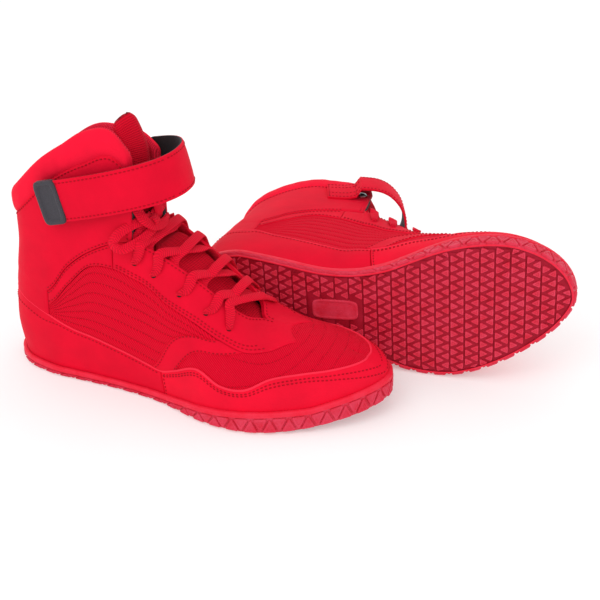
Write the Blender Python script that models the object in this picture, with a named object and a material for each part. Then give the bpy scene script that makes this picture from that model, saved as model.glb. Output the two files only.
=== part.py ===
"""A pair of lace-up boxing boots with an ankle strap: the right boot stands, the left boot lies on its side.

Each boot is modelled in its own frame, in millimetres: x runs from heel to toe, y to the medial side, z up,
with z = 0 on the ground under the sole. The left boot is the mirror image of the right one.
"""

import math

import bmesh
import bpy
from mathutils import Matrix, Vector

MM = 0.001

# Layers of the upper, as distances in mm from its outer surface: (outer face, inner face).
OVERLAY = (0.0, -1.5)
FABRIC = (-1.8, -3.3)
STIFFENER = (-3.6, -4.8)
LINING = (-5.1, -6.6)
PATCH = (1.4, 0.4)
COLLAR_ROLL = (1.8, -8.0)
PANEL_INSET = 0.35
ROLL_INSET = 1.4

# Sole.
RIM_GAP = 0.45
RIM_THICKNESS = 2.3
RIM_OVERLAP = 2.5
RIM_WIDTH = RIM_GAP + RIM_THICKNESS
LEDGE_WIDTH = 6.8
PLATE_THICKNESS = 3.6
SOLE_EDGE_INSET = 3.0
MIDSOLE_THICKNESS = 4.0
INSOLE_THICKNESS = 3.6
SOLE_GAP = 0.35
SLAB_INSET = 7.3
TOE_SPRING_START = 205.0
TOE_SPRING_LENGTH = 84.0
TOE_SPRING = 13.0
HEEL_BEVEL_LENGTH = 16.0
HEEL_BEVEL = 2.0

# Height of the outsole's rim along the boot: (x, z).
RIM_HEIGHTS = ((-5, 8.5), (50, 7.5), (105, 7.0), (135, 8.0), (165, 12.5), (200, 16.5), (245, 19.0), (289, 30.0))

# Meridians of the upper, from the back of the heel round the lateral side to the toe and back on the medial side.
# Each runs from the sole's edge (x, y) to the top line (x, y, z). arch is 0 for a straight wall and 1 for a full
# round. bulge and waist push it out low down and high up. The last four numbers are the heights of the foxing or
# toe guard, of the lower and the upper edge of the band and eyestay strip, and of the collar seam.
# (sole x, sole y, top x, top y, top z, arch, bulge, waist, guard, strip low, strip high, seam)
MERIDIANS = (
    (-1.0, 0.0, 7.0, 0.0, 134.0, 0.0, 4.5, -3.5, 61.0, 68.0, 77.0, 117.0),
    (4.5, -15.0, 12.0, -15.0, 139.0, 0.0, 4.0, -3.0, 60.0, 67.0, 77.0, 121.0),
    (18.0, -27.0, 24.0, -25.0, 150.0, 0.0, 3.0, -2.0, 57.0, 65.0, 77.0, 131.0),
    (40.0, -33.5, 44.0, -29.0, 169.0, 0.0, 2.5, -1.0, 50.0, 59.0, 70.0, 150.0),
    (58.0, -34.5, 61.0, -29.0, 181.0, 0.0, 2.5, 0.0, 43.0, 78.0, 92.0, 163.0),
    (76.0, -35.0, 78.0, -28.0, 192.0, 0.0, 2.5, 0.0, 39.0, 95.0, 106.0, 172.0),
    (94.0, -36.0, 97.0, -25.0, 195.0, 0.0, 2.5, 0.0, 34.0, 96.0, 115.0, 179.0),
    (108.0, -37.5, 112.0, -22.5, 178.0, 0.1, 2.0, 0.0, 30.0, 91.0, 118.0, 166.0),
    (121.0, -39.5, 115.0, -26.0, 117.5, 0.15, 2.0, 0.0, 27.5, 88.0, 117.5, 117.5),
    (134.0, -42.5, 120.0, -25.0, 115.0, 0.2, 2.0, 0.0, 26.0, 84.0, 115.0, 115.0),
    (148.0, -47.5, 127.0, -23.0, 110.5, 0.3, 1.5, 0.0, 31.0, 77.0, 110.5, 110.5),
    (166.0, -54.0, 149.0, -20.0, 97.0, 0.45, 1.5, 0.0, 38.5, 69.0, 97.0, 97.0),
    (184.0, -57.0, 170.0, -17.0, 81.0, 0.6, 1.5, 0.0, 31.5, 60.0, 81.0, 81.0),
    (202.0, -56.5, 187.0, -12.0, 67.5, 0.8, 1.5, 0.0, 32.0, 53.5, 67.5, 67.5),
    (220.0, -51.5, 198.0, 0.0, 60.5, 1.0, 1.5, 0.0, 39.0, 52.0, 60.5, 60.5),
    (240.0, -42.5, 217.0, 0.5, 57.5, 1.0, 1.5, 0.0, 41.0, 54.0, 57.5, 57.5),
    (257.0, -32.0, 235.0, 1.5, 54.0, 1.0, 1.5, 0.0, 41.5, 49.0, 54.0, 54.0),
    (272.0, -20.5, 248.0, 2.5, 50.5, 1.0, 1.5, 0.0, 42.0, 46.5, 50.5, 50.5),
    (283.0, -8.0, 257.0, 3.5, 47.0, 1.0, 1.5, 0.0, 42.0, 44.5, 47.0, 47.0),
    (288.5, 5.0, 261.0, 4.0, 45.0, 1.0, 1.5, 0.0, 42.0, 43.5, 45.0, 45.0),
    (285.0, 20.0, 257.0, 3.5, 47.0, 1.0, 1.5, 0.0, 42.0, 44.5, 47.0, 47.0),
    (275.0, 33.5, 248.0, 2.5, 50.5, 1.0, 1.5, 0.0, 42.0, 46.5, 50.5, 50.5),
    (260.0, 44.0, 235.0, 1.5, 54.0, 1.0, 1.5, 0.0, 41.5, 49.0, 54.0, 54.0),
    (242.0, 50.0, 217.0, 0.5, 57.5, 1.0, 1.5, 0.0, 41.0, 54.0, 57.5, 57.5),
    (223.0, 50.5, 198.0, 0.0, 60.5, 1.0, 1.5, 0.0, 39.0, 52.0, 60.5, 60.5),
    (205.0, 47.5, 190.0, 12.0, 67.5, 0.8, 2.0, 0.0, 34.0, 54.0, 67.5, 67.5),
    (188.0, 42.0, 174.0, 16.5, 81.0, 0.6, 3.0, 0.0, 32.0, 60.0, 81.0, 81.0),
    (171.0, 34.5, 153.0, 19.0, 97.0, 0.45, 5.0, 0.0, 35.0, 69.0, 97.0, 97.0),
    (155.0, 27.5, 130.0, 22.0, 110.5, 0.3, 7.0, 0.0, 31.0, 77.0, 110.5, 110.5),
    (142.0, 24.0, 121.0, 24.5, 115.0, 0.2, 8.0, 0.0, 29.0, 84.0, 115.0, 115.0),
    (130.0, 22.0, 115.0, 25.0, 117.5, 0.15, 8.5, 0.0, 29.5, 88.0, 117.5, 117.5),
    (117.0, 21.5, 112.0, 22.5, 168.0, 0.1, 8.5, 0.0, 31.0, 91.0, 118.0, 157.0),
    (100.0, 23.0, 98.0, 24.5, 178.0, 0.0, 8.0, 0.0, 34.0, 96.0, 115.0, 164.0),
    (78.0, 27.5, 78.0, 26.5, 180.0, 0.0, 5.5, 0.0, 39.0, 95.0, 106.0, 164.0),
    (59.0, 31.0, 61.0, 28.0, 178.0, 0.0, 3.5, 0.0, 43.0, 78.0, 92.0, 161.0),
    (40.0, 33.0, 44.0, 28.0, 168.0, 0.0, 2.5, -1.0, 50.0, 59.0, 70.0, 149.0),
    (18.0, 27.0, 24.0, 24.5, 150.0, 0.0, 3.0, -2.0, 57.0, 65.0, 77.0, 131.0),
    (4.5, 14.5, 12.0, 14.5, 139.0, 0.0, 4.0, -3.0, 60.0, 67.0, 77.0, 121.0),
)
COLUMNS = len(MERIDIANS)
ROWS = 9
TOE = 19
NOTCH = 8
THROAT_FRONT = 14
RIDGE_SLOPE = -0.2
ROUNDNESS = 0.9
BULGE_AT = 0.22
WAIST_FROM = 0.45

# Lacing: the columns of the five eyelets from the top down on the lateral (-1) and the medial (1) side, and their
# lattice row.
EYELET_COLUMNS = {-1: (7.2, 9.35, 10.6, 11.5, 12.35), 1: (9.2, 10.35, 11.25, 12.1, 12.9)}
EYELET_COUNT = 5
EYELET_ROW = 4.47
FIRST_EDGE_COLUMN = 8.6
TOP_EYELET = (6.45, 6.62)
TOP_EYELET_RADII = (2.0, 4.0)
TOP_EYELET_HEIGHTS = (0.5, 1.5)
TOP_EYELET_SIDES = 12
EYELET_HOLE_RADIUS = 2.6
EYELET_HOLE_DEPTH = (3.0, -4.0)
LACE_RADIUS = 1.5
LACE_SIDES = 6
LACE_ABOVE = 2.8
LACE_BELOW = -4.1
LACE_CROSSING = 1.95
LACE_RAISE = 2.4
LACE_OVER_EDGE = 3.0
LACE_BEND = 2.0
EDGE_SHARE = 0.2

# Tongue: in the throat it lies under the flaps, at these columns; above, its (centre x, z, half-width, setback).
TONGUE_COLUMNS = (13.2, 12.6, 11.9, 11.2, 10.6, 10.0)
TONGUE_ROWS = (4.7, 4.85, 5.0)
TONGUE_DEPTH = -8.0
TONGUE_CROWN = 0.5
TONGUE_THICKNESS = 3.6
TONGUE_STATIONS = (
    (117.5, 111.5, 12.5, 5.0),
    (113.5, 124.0, 11.5, 5.0),
    (111.5, 142.0, 15.0, 8.0),
    (112.0, 160.0, 15.5, 8.0),
    (110.5, 178.0, 14.5, 7.0),
    (104.0, 193.0, 14.5, 6.0),
)
KEEPER_LIFT = 4.2
THROAT_UP = (0.45, 0.0, 0.89)

# The lace's two ends, from where they leave the eyestay's top eyelets: the lateral one goes through the keeper,
# the medial one crosses in front and hangs in a bight behind the strap.
LATERAL_END = (
    (111.0, -22.6, 110.5), (115.7, -18.6, 119.0), (116.2, -14.0, 125.0), (115.4, -8.0, 131.0), (115.4, 9.0, 131.0),
    (114.2, 14.5, 137.0),
)
MEDIAL_END = (
    (118.5, 18.5, 113.5), (117.5, 15.0, 120.0), (119.0, 8.0, 122.0), (119.5, 0.0, 122.0), (120.5, -11.0, 125.0),
    (120.5, -19.0, 131.0), (117.0, -21.5, 137.0), (114.0, -19.0, 142.0),
)

# Strap: its centre line in plan, and the tilt of its plane.
STRAP_WIDTH = 30.0
STRAP_THICKNESS = 2.0
STRAP_REFERENCE = (56.0, 144.0)
STRAP_TILT = math.atan(0.26)
STRAP_ROUTE = (
    (104.0, 34.0), (118.0, 31.5), (128.0, 25.5), (135.5, 15.0), (138.5, 3.0),
    (137.5, -9.0), (131.5, -19.5), (121.0, -27.0), (108.0, -32.0), (94.0, -35.2),
    (80.0, -36.9), (66.0, -37.7), (48.0, -37.7),
)
STRAP_CORNER = 6
STRAP_TAB_LENGTH = 17.0
STRAP_HINGE_GAP = 1.3
TAPE_START = 4.0
TAPE_CLEARANCE = 2.5
TAB_THICKNESS = 3.6
HOOK_TAPE = (1.3, 1.0)

# Places of the boots on the ground.
RIGHT_YAW = math.radians(-19.7)
LEFT_YAW = math.radians(-14.2)
LEFT_PITCH = math.radians(-3.9)
LEFT_ROLL = math.radians(-93.0)
LEFT_OFFSET = (123.1, 2.0)

COLOURS = {
    "nubuck": ((0.74, 0.012, 0.03), 0.62),
    "mesh": ((0.56, 0.01, 0.027), 0.8),
    "knit": ((0.34, 0.012, 0.03), 0.9),
    "lining": ((0.02, 0.02, 0.022), 0.85),
    "lace": ((0.66, 0.014, 0.03), 0.75),
    "rubber": ((0.55, 0.05, 0.08), 0.55),
    "foam": ((0.55, 0.5, 0.48), 0.9),
    "board": ((0.5, 0.44, 0.36), 0.8),
    "black_rubber": ((0.045, 0.04, 0.045), 0.6),
    "hook": ((0.015, 0.015, 0.017), 0.9),
    "steel": ((0.6, 0.6, 0.62), 0.3),
}


def clear_scene():
    for obj in list(bpy.data.objects):
        bpy.data.objects.remove(obj)


def make_materials():
    made = {}
    for name, (colour, roughness) in COLOURS.items():
        material = bpy.data.materials.new(name)
        material.use_nodes = True
        shader = material.node_tree.nodes["Principled BSDF"]
        shader.inputs["Base Color"].default_value = (*colour, 1.0)
        shader.inputs["Roughness"].default_value = roughness
        shader.inputs["Metallic"].default_value = 1.0 if name == "steel" else 0.0
        made[name] = material
    return made


# ---------------------------------------------------------------- the surface of the upper


def along(points, x):
    """The value at x of a table of (x, value), with straight lines between its rows."""
    if x <= points[0][0]:
        return points[0][1]
    for (x0, v0), (x1, v1) in zip(points, points[1:]):
        if x <= x1:
            return v0 + (v1 - v0) * (x - x0) / (x1 - x0)
    return points[-1][1]


def bottom_height(x):
    """The outsole's underside: flat, with a spring at the toe and a bevel at the heel."""
    toe = max(0.0, x - TOE_SPRING_START) / TOE_SPRING_LENGTH
    heel = max(0.0, HEEL_BEVEL_LENGTH - x) / HEEL_BEVEL_LENGTH
    return TOE_SPRING * toe ** 2 + HEEL_BEVEL * heel ** 2


def smooth(p0, p1, p2, p3, t):
    """Catmull-Rom between p1 and p2."""
    return 0.5 * (2 * p1 + (p2 - p0) * t + (2 * p0 - 5 * p1 + 4 * p2 - p3) * t ** 2
                  + (3 * p1 - p0 - 3 * p2 + p3) * t ** 3)


def meridian(a):
    """The numbers of the meridian at a, smoothed between the rows of MERIDIANS."""
    i = math.floor(a)
    rows = [MERIDIANS[(i + k) % COLUMNS] for k in (-1, 0, 1, 2)]
    return [smooth(*values, a - i) for values in zip(*rows)]


def outward(a):
    """The horizontal direction out of the sole's edge at a."""
    before, after = meridian(a - 0.5), meridian(a + 0.5)
    tangent = Vector((after[0] - before[0], after[1] - before[1], 0.0))
    return Vector((tangent.y, -tangent.x, 0.0)).normalized()


def rise(row, b):
    """How far inwards (0 to 1) and how high a meridian is at the fraction b of its way up."""
    sole_x, _, top_x, _, top_z, arch = row[:6]
    angle = b * math.pi / 2
    arch = min(max(arch, 0.0), 1.0)
    inward = (1 - arch) * b + arch * (1 - math.cos(angle) ** ROUNDNESS)
    upward = (1 - arch) * b + arch * math.sin(angle) ** ROUNDNESS
    start = along(RIM_HEIGHTS, sole_x) - RIM_OVERLAP
    lean = RIDGE_SLOPE * (top_x - sole_x) * arch
    return inward, start + (top_z - start - lean) * upward + lean * inward


def surface(a, b):
    """The point of the upper's outer surface on meridian a, at the fraction b of its way up."""
    row = meridian(a)
    inward, z = rise(row, b)
    x = row[0] + (row[2] - row[0]) * inward
    y = row[1] + (row[3] - row[1]) * inward
    low = b / BULGE_AT * math.exp(1 - b / BULGE_AT) * (1 - b * b)
    high = math.sin(math.pi * max(0.0, b - WAIST_FROM) / (1 - WAIST_FROM)) ** 2
    return Vector((x, y, z)) + outward(a) * (row[6] * low + row[7] * high - RIM_WIDTH * (1 - inward))


def fraction_at(row, height):
    """The fraction of the way up at which a meridian reaches a height, by halving."""
    low, high = 0.0, 1.0
    for _ in range(30):
        middle = (low + high) / 2
        if rise(row, middle)[1] < height:
            low = middle
        else:
            high = middle
    return low


def surface_normal(a, b):
    step = 0.02
    low, high = max(b - step, 0.0), min(b + step, 1.0)
    normal = (surface(a, high) - surface(a, low)).cross(surface(a + 0.1, b) - surface(a - 0.1, b))
    return normal.normalized() * -1.0


def row_fractions(column):
    """The nine lattice rows of a column: sole edge, foxing top, strip edges, collar seam and top line."""
    row = MERIDIANS[column]
    guard, low, high, seam = (fraction_at(row, height) for height in row[8:12])
    if NOTCH <= column <= COLUMNS - NOTCH:
        high = seam = 1.0
    low = min(low, 0.97)
    return (0.0, guard / 2, guard, (guard + low) / 2, low, high, (high + seam) / 2, seam, 1.0)


def mirror_column(column):
    return (COLUMNS - column) % COLUMNS


def on_ridge(column, row):
    return row >= 5 and THROAT_FRONT <= column <= COLUMNS - THROAT_FRONT


def make_lattice():
    """Points and normals of the shared lattice, as dictionaries by (column, row)."""
    points, normals = {}, {}
    for column in range(COLUMNS):
        for row, b in enumerate(row_fractions(column)):
            points[column, row] = surface(column, b)
            normal = surface_normal(column, min(b, 0.985))
            normals[column, row] = outward(column) if row == 0 else normal
    for column in range(THROAT_FRONT, TOE + 1):
        other = mirror_column(column)
        normal = (normals[column, 5] + normals[other, 5]).normalized()
        normals[column, 5] = normals[other, 5] = normal
    # At the notch the top line drops, so the normals there come from the columns on either side.
    for pinched in (NOTCH, mirror_column(NOTCH)):
        for row in range(4, ROWS):
            normals[pinched, row] = (normals[pinched - 1, row] + normals[pinched + 1, row]).normalized()
    return points, normals


# ---------------------------------------------------------------- making objects


def add_object(boot, name, vertices, faces, material, origin=None, parent=None):
    """Makes a node of one boot from points in millimetres, mirrored on the left boot."""
    side = boot["side"]
    offset = Vector(origin or (0.0, 0.0, 0.0))
    mesh = bpy.data.meshes.new(boot["prefix"] + name)
    placed = []
    for vertex in vertices:
        local = Vector(vertex) - offset
        placed.append((local.x * MM, local.y * side * MM, local.z * MM))
    turned = [tuple(reversed(face)) if side < 0 else tuple(face) for face in faces]
    mesh.from_pydata(placed, [], turned)
    obj = bpy.data.objects.new(boot["prefix"] + name, mesh)
    bpy.context.scene.collection.objects.link(obj)
    mesh.materials.append(boot["materials"][material])
    obj.parent = parent or boot["root"]
    recalculate(mesh)
    mesh.shade_smooth()
    mesh.set_sharp_from_angle(angle=math.radians(40))
    return obj


def recalculate(mesh):
    work = bmesh.new()
    work.from_mesh(mesh)
    bmesh.ops.remove_doubles(work, verts=work.verts, dist=0.00002)
    bmesh.ops.recalc_face_normals(work, faces=work.faces)
    if work.calc_volume(signed=True) < 0:
        bmesh.ops.reverse_faces(work, faces=work.faces)
    work.to_mesh(mesh)
    work.free()


def block(columns, rows):
    """The cells of a run of columns (which may be negative) and rows."""
    return {(column % COLUMNS, row) for column in columns for row in rows}


def panel(boot, name, cells, layer, material, inset=PANEL_INSET):
    """A panel of the upper: the lattice cells given, between two offsets of the surface, closed all round."""
    points, normals = boot["lattice"]

    def key(column, row):
        column = column % COLUMNS
        if on_ridge(column, row):
            return (min(column, mirror_column(column)), row)
        return (column, row)

    quads = []
    for column, row in sorted(cells):
        quads.append([key(column, row), key(column + 1, row), key(column + 1, row + 1), key(column, row + 1)])
    edges = {}
    for quad in quads:
        for start, end in zip(quad, quad[1:] + quad[:1]):
            edges[start, end] = edges.get((start, end), 0) + 1
    border = [edge for edge in edges if (edge[1], edge[0]) not in edges]
    pull = inward_pull(quads, border, points, inset)
    used = sorted({corner for quad in quads for corner in quad})
    index = {corner: i for i, corner in enumerate(used)}
    vertices = []
    for offset in layer:
        for corner in used:
            shift = pull.get(corner, Vector((0.0, 0.0, 0.0)))
            vertices.append(points[corner] + shift + normals[corner] * offset)
    count = len(used)
    faces = []
    for quad in quads:
        a, b, c, d = (index[corner] for corner in quad)
        faces += [(a, b, c), (a, c, d)]
        faces += [(c + count, b + count, a + count), (d + count, c + count, a + count)]
    for start, end in border:
        a, b = index[start], index[end]
        faces.append((b, a, a + count, b + count))
    return add_object(boot, name, vertices, faces, material)


def inward_pull(quads, border, points, inset):
    """A short move of each border corner towards the inside of its panel, which leaves the gap between panels."""
    centres = {}
    for quad in quads:
        centre = sum((points[corner] for corner in quad), Vector()) / len(quad)
        for corner in quad:
            centres.setdefault(corner, []).append(centre)
    pull = {}
    for corner in {corner for edge in border for corner in edge}:
        if corner[1] == 0:
            continue
        towards = sum((centre - points[corner] for centre in centres[corner]), Vector())
        pull[corner] = towards.normalized() * inset
    return pull


def loft(boot, name, rings, material, origin=None, parent=None):
    """A closed solid through rings of the same number of points, with both ends filled."""
    vertices = [point for ring in rings for point in ring]
    size = len(rings[0])
    last = (len(rings) - 1) * size
    faces = []
    for k in range(len(rings) - 1):
        for i in range(size):
            j = (i + 1) % size
            faces.append((k * size + i, k * size + j, (k + 1) * size + j, (k + 1) * size + i))
    if size == COLUMNS:
        for face in cross_strips():
            faces.append(tuple(reversed(face)))
            faces.append(tuple(last + corner for corner in face))
    else:
        faces.append(tuple(reversed(range(size))))
        faces.append(tuple(range(last, last + size)))
    return add_object(boot, name, vertices, faces, material, origin, parent)


def cross_strips():
    """The triangles that fill a ring of the whole sole, in strips from the lateral to the medial side."""
    faces = [(0, 1, COLUMNS - 1), (TOE - 1, TOE, TOE + 1)]
    for column in range(1, TOE - 1):
        near, far = mirror_column(column), mirror_column(column + 1)
        faces += [(column, column + 1, far), (column, far, near)]
    return faces


# ---------------------------------------------------------------- sub-parts of one boot


def sole_ring(inset, height):
    """A ring round the sole, inset from the upper's surface, with its height as a function of x and the rim."""
    ring = []
    for column in range(COLUMNS):
        row = MERIDIANS[column]
        point = Vector((row[0], row[1], 0.0)) - outward(column) * (inset + RIM_WIDTH)
        ring.append((point.x, point.y, height(point.x, along(RIM_HEIGHTS, row[0]))))
    return ring


def rim_wall_ring(points, gap):
    """The rim's top, following the upper where it leaves the sole."""
    ring = []
    for column in range(COLUMNS):
        low, high = points[column, 0], points[column, 1]
        rim = along(RIM_HEIGHTS, MERIDIANS[column][0])
        reached = low.lerp(high, (rim - low.z) / (high.z - low.z))
        place = reached + outward(column) * gap
        ring.append((place.x, place.y, rim))
    return ring


def make_outsole(boot):
    points = boot["lattice"][0]
    outer = -RIM_WIDTH
    rings = [
        sole_ring(LEDGE_WIDTH + 4.0, lambda x, rim: bottom_height(x)),
        sole_ring(outer + SOLE_EDGE_INSET, lambda x, rim: bottom_height(x)),
        sole_ring(outer, lambda x, rim: bottom_height(x) + 3.0),
        rim_wall_ring(points, RIM_WIDTH),
        rim_wall_ring(points, RIM_GAP),
        sole_ring(-RIM_GAP, lambda x, rim: rim - RIM_OVERLAP - SOLE_GAP),
        sole_ring(LEDGE_WIDTH, lambda x, rim: rim - RIM_OVERLAP - SOLE_GAP),
        sole_ring(LEDGE_WIDTH, lambda x, rim: bottom_height(x) + PLATE_THICKNESS),
    ]
    loft(boot, "outsole", rings, "rubber")


def make_slabs(boot):
    """The foam midsole and the loose insole, each a slab following the toe spring."""
    low = PLATE_THICKNESS + SOLE_GAP
    for name, thickness, material in (("midsole", MIDSOLE_THICKNESS, "foam"), ("insole", INSOLE_THICKNESS, "knit")):
        rings = [
            sole_ring(SLAB_INSET, lambda x, rim, z=low: bottom_height(x) + z),
            sole_ring(SLAB_INSET, lambda x, rim, z=low + thickness: bottom_height(x) + z),
        ]
        loft(boot, name, rings, material)
        low += thickness + SOLE_GAP


def make_panels(boot):
    """Everything that is cut from sheet and follows the surface of the upper."""
    rear = range(-9, 9)
    whole = block(range(COLUMNS), range(5)) | block(range(-7, 7), (5, 6))
    whole -= block(range(6, 14), (4,)) | block(range(24, 32), (4,))
    panel(boot, "heel_foxing", block(rear, (0, 1)), OVERLAY, "nubuck")
    panel(boot, "toe_guard", block(range(9, 29), (0, 1)), OVERLAY, "nubuck")
    eyestay = block(range(6, 15), (4,)) | block(range(23, 32), (4,))
    panel(boot, "eyestay", eyestay, OVERLAY, "nubuck")
    sides = {
        "lateral": (range(3, 6), range(0, 3), range(0, 7), range(9, 12), range(11, 13), range(3, 11)),
        "medial": (range(32, 35), range(35, 38), range(31, 38), range(26, 29), range(25, 27), range(27, 35)),
    }
    for side, (band, heel, ankle, strut_low, strut_high, mesh) in sides.items():
        panel(boot, "curved_band_" + side, block(band, (4,)), OVERLAY, "nubuck")
        quarter = block(ankle, (5, 6)) | block(heel, (2, 3, 4))
        panel(boot, "ankle_quarter_" + side, quarter, OVERLAY, "nubuck")
        panel(boot, "diagonal_band_" + side, block(strut_low, (2,)) | block(strut_high, (3,)), OVERLAY, "nubuck")
        panel(boot, "quarter_mesh_" + side, block(mesh, range(4)), FABRIC, "mesh")
    vamp = block(range(11, 27), range(4)) | block(range(14, 24), (4,))
    panel(boot, "vamp_mesh", vamp, FABRIC, "mesh")
    foam = block(range(-3, 3), range(2, 7)) | block(range(-7, 7), (5, 6))
    panel(boot, "ankle_foam", foam, FABRIC, "foam")
    panel(boot, "heel_counter", block(range(-4, 4), (0, 1)), STIFFENER, "board")
    panel(boot, "toe_puff", block(range(16, 22), range(4)), STIFFENER, "board")
    panel(boot, "collar_roll", block(range(-7, 7), (7,)), COLLAR_ROLL, "nubuck", ROLL_INSET)
    panel(boot, "loop_patch", block(range(3, 6), (6,)), PATCH, "hook")
    panel(boot, "lining", whole, LINING, "lining")


def lattice_point(boot, side, column, row, offset):
    """The point at an offset from the faceted surface, at any column and row of one side of the lattice."""
    points, normals = boot["lattice"]
    column = column if side < 0 else COLUMNS - column
    i, j = math.floor(column), min(math.floor(row), 7)
    u, v = column - i, row - j

    def corner(di, dj):
        key = ((i + di) % COLUMNS, j + dj)
        return points[key] + normals[key] * offset

    if u >= v:
        return corner(0, 0) + (corner(1, 0) - corner(0, 0)) * u + (corner(1, 1) - corner(1, 0)) * v
    return corner(0, 0) + (corner(0, 1) - corner(0, 0)) * v + (corner(1, 1) - corner(0, 1)) * u


def make_tongue(boot):
    """The padded tongue: it lies under both flaps of the throat, then stands up in front of the ankle."""
    rings = []
    inner_depth = TONGUE_DEPTH - TONGUE_THICKNESS
    for column in TONGUE_COLUMNS:
        outer = tongue_arc(boot, column, TONGUE_DEPTH)
        inner = tongue_arc(boot, column, inner_depth)
        rings.append(outer + list(reversed(inner)))
    for x, z, half, setback in TONGUE_STATIONS:
        outer, inner = [], []
        for step in range(-3, 4):
            across = step / 3
            place = Vector((x - setback * across * across, half * across, z))
            thickness = TONGUE_THICKNESS * (1.5 - 0.6 * across * across)
            outer.append(place)
            inner.append(place - Vector((thickness, half * across * 0.12, 0.0)))
        rings.append(outer + list(reversed(inner)))
    loft(boot, "tongue", rings, "knit")
    make_keeper(boot)


def tongue_arc(boot, column, depth):
    """Seven points across the tongue at one column of the throat, at one depth under the flaps."""
    lateral = [lattice_point(boot, -1, column, row, depth) for row in TONGUE_ROWS]
    medial = [lattice_point(boot, 1, column, row, depth) for row in TONGUE_ROWS]
    centre = (lateral[-1] + medial[-1]) / 2 + Vector((0.3, 0.0, 1.0)) * TONGUE_CROWN
    return lateral + [centre] + list(reversed(medial))


def make_keeper(boot):
    """The leather loop on the tongue through which a lace end runs."""
    low, high = (Vector((x, 0.0, z)) for x, z, _, _ in TONGUE_STATIONS[1:3])
    run = (high - low).normalized()
    length = (high - low).length
    normal = Vector((run.z, 0.0, -run.x))
    rings = []
    for share, lift in ((0.02, 0.6), (0.2, KEEPER_LIFT), (0.8, KEEPER_LIFT), (0.98, 0.8)):
        centre = low + run * length * share
        ring = []
        for across, height in ((-5.5, 0.0), (5.5, 0.0), (5.5, 1.4), (-5.5, 1.4)):
            ring.append(centre + Vector((0.0, across, 0.0)) + normal * (lift + height))
        rings.append(ring)
    loft(boot, "lace_keeper", rings, "nubuck")


# ---------------------------------------------------------------- strap


def strap_frame(x, y):
    """The point on the strap's centre line above (x, y), and its width direction."""
    z = STRAP_REFERENCE[1] + (x - STRAP_REFERENCE[0]) * math.tan(STRAP_TILT)
    return Vector((x, y, z)), Vector((-math.sin(STRAP_TILT), 0.0, math.cos(STRAP_TILT)))


def route_points(points, per_span):
    """A smooth route through the points given, with per_span steps from each to the next."""
    fine = []
    last = len(points) - 1
    for i in range(last):
        around = [Vector(points[min(max(i + k, 0), last)]) for k in (-1, 0, 1, 2)]
        for step in range(per_span):
            fine.append(smooth(*around, step / per_span))
    fine.append(Vector(points[last]))
    return fine


def band(boot, name, route, inner, outer, width, material, origin, parent):
    """A flat band along the strap's route, between two distances outwards from its centre line."""
    rings = []
    for i, place in enumerate(route):
        ahead = route[min(i + 1, len(route) - 1)]
        behind = route[max(i - 1, 0)]
        tangent = (Vector(ahead) - Vector(behind)).normalized()
        point, up = strap_frame(*place)
        out = Vector((tangent.y, -tangent.x, 0.0)) * -1.0
        rings.append([
            point + up * width / 2 + out * inner,
            point + up * width / 2 + out * outer,
            point - up * width / 2 + out * outer,
            point - up * width / 2 + out * inner,
        ])
    return loft(boot, name, rings, material, origin, parent)


def hinge_empty(boot, name, place, parent):
    """An empty on a strap hinge: its local z is the hinge's axis."""
    point, up = strap_frame(*place)
    empty = bpy.data.objects.new(boot["prefix"] + name, None)
    bpy.context.scene.collection.objects.link(empty)
    empty.parent = parent
    return empty, point, up


def make_strap(boot):
    """The strap in two lengths that hinge at its anchor and at the front corner, its tape and its pull tab."""
    side = boot["side"]
    anchor, anchor_point, _ = hinge_empty(boot, "strap_anchor_axis", STRAP_ROUTE[0], boot["root"])
    anchor.location = (anchor_point.x * MM, anchor_point.y * side * MM, anchor_point.z * MM)
    corner, corner_point, _ = hinge_empty(boot, "strap_corner_axis", STRAP_ROUTE[STRAP_CORNER], anchor)
    between = corner_point - anchor_point
    corner.location = (between.x * MM, between.y * side * MM, between.z * MM)
    route = [Vector((x, y)) for x, y in STRAP_ROUTE]
    half = STRAP_THICKNESS / 2
    front = trimmed(route_points(route[:STRAP_CORNER + 1], 2), 0.0, STRAP_HINGE_GAP)
    band(boot, "strap_front", front, -half, half, STRAP_WIDTH, "nubuck", anchor_point, anchor)
    rear = route[STRAP_CORNER:]
    end = trimmed(route_points(rear, 2), STRAP_HINGE_GAP, STRAP_TAB_LENGTH + 0.4)
    band(boot, "strap_end", end, -half, half, STRAP_WIDTH, "nubuck", corner_point, corner)
    tape = trimmed(route_points(rear, 2), TAPE_START, STRAP_TAB_LENGTH + TAPE_CLEARANCE)
    tape_low = -half - HOOK_TAPE[0]
    tape_width = STRAP_WIDTH - 3.0
    band(boot, "hook_tape", tape, tape_low, tape_low + HOOK_TAPE[1], tape_width, "hook", corner_point, corner)
    make_tab(boot, rear, corner_point, corner)


def trimmed(points, from_start, from_end):
    """A route shortened by the lengths given at its start and its end."""
    points = [Vector(point) for point in points]
    for length in (from_start, from_end):
        while length > 0.0:
            span = (points[1] - points[0]).length
            if span > length:
                points[0] = points[0].lerp(points[1], length / span)
                break
            length -= span
            points.pop(0)
        points.reverse()
    return points


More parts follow.
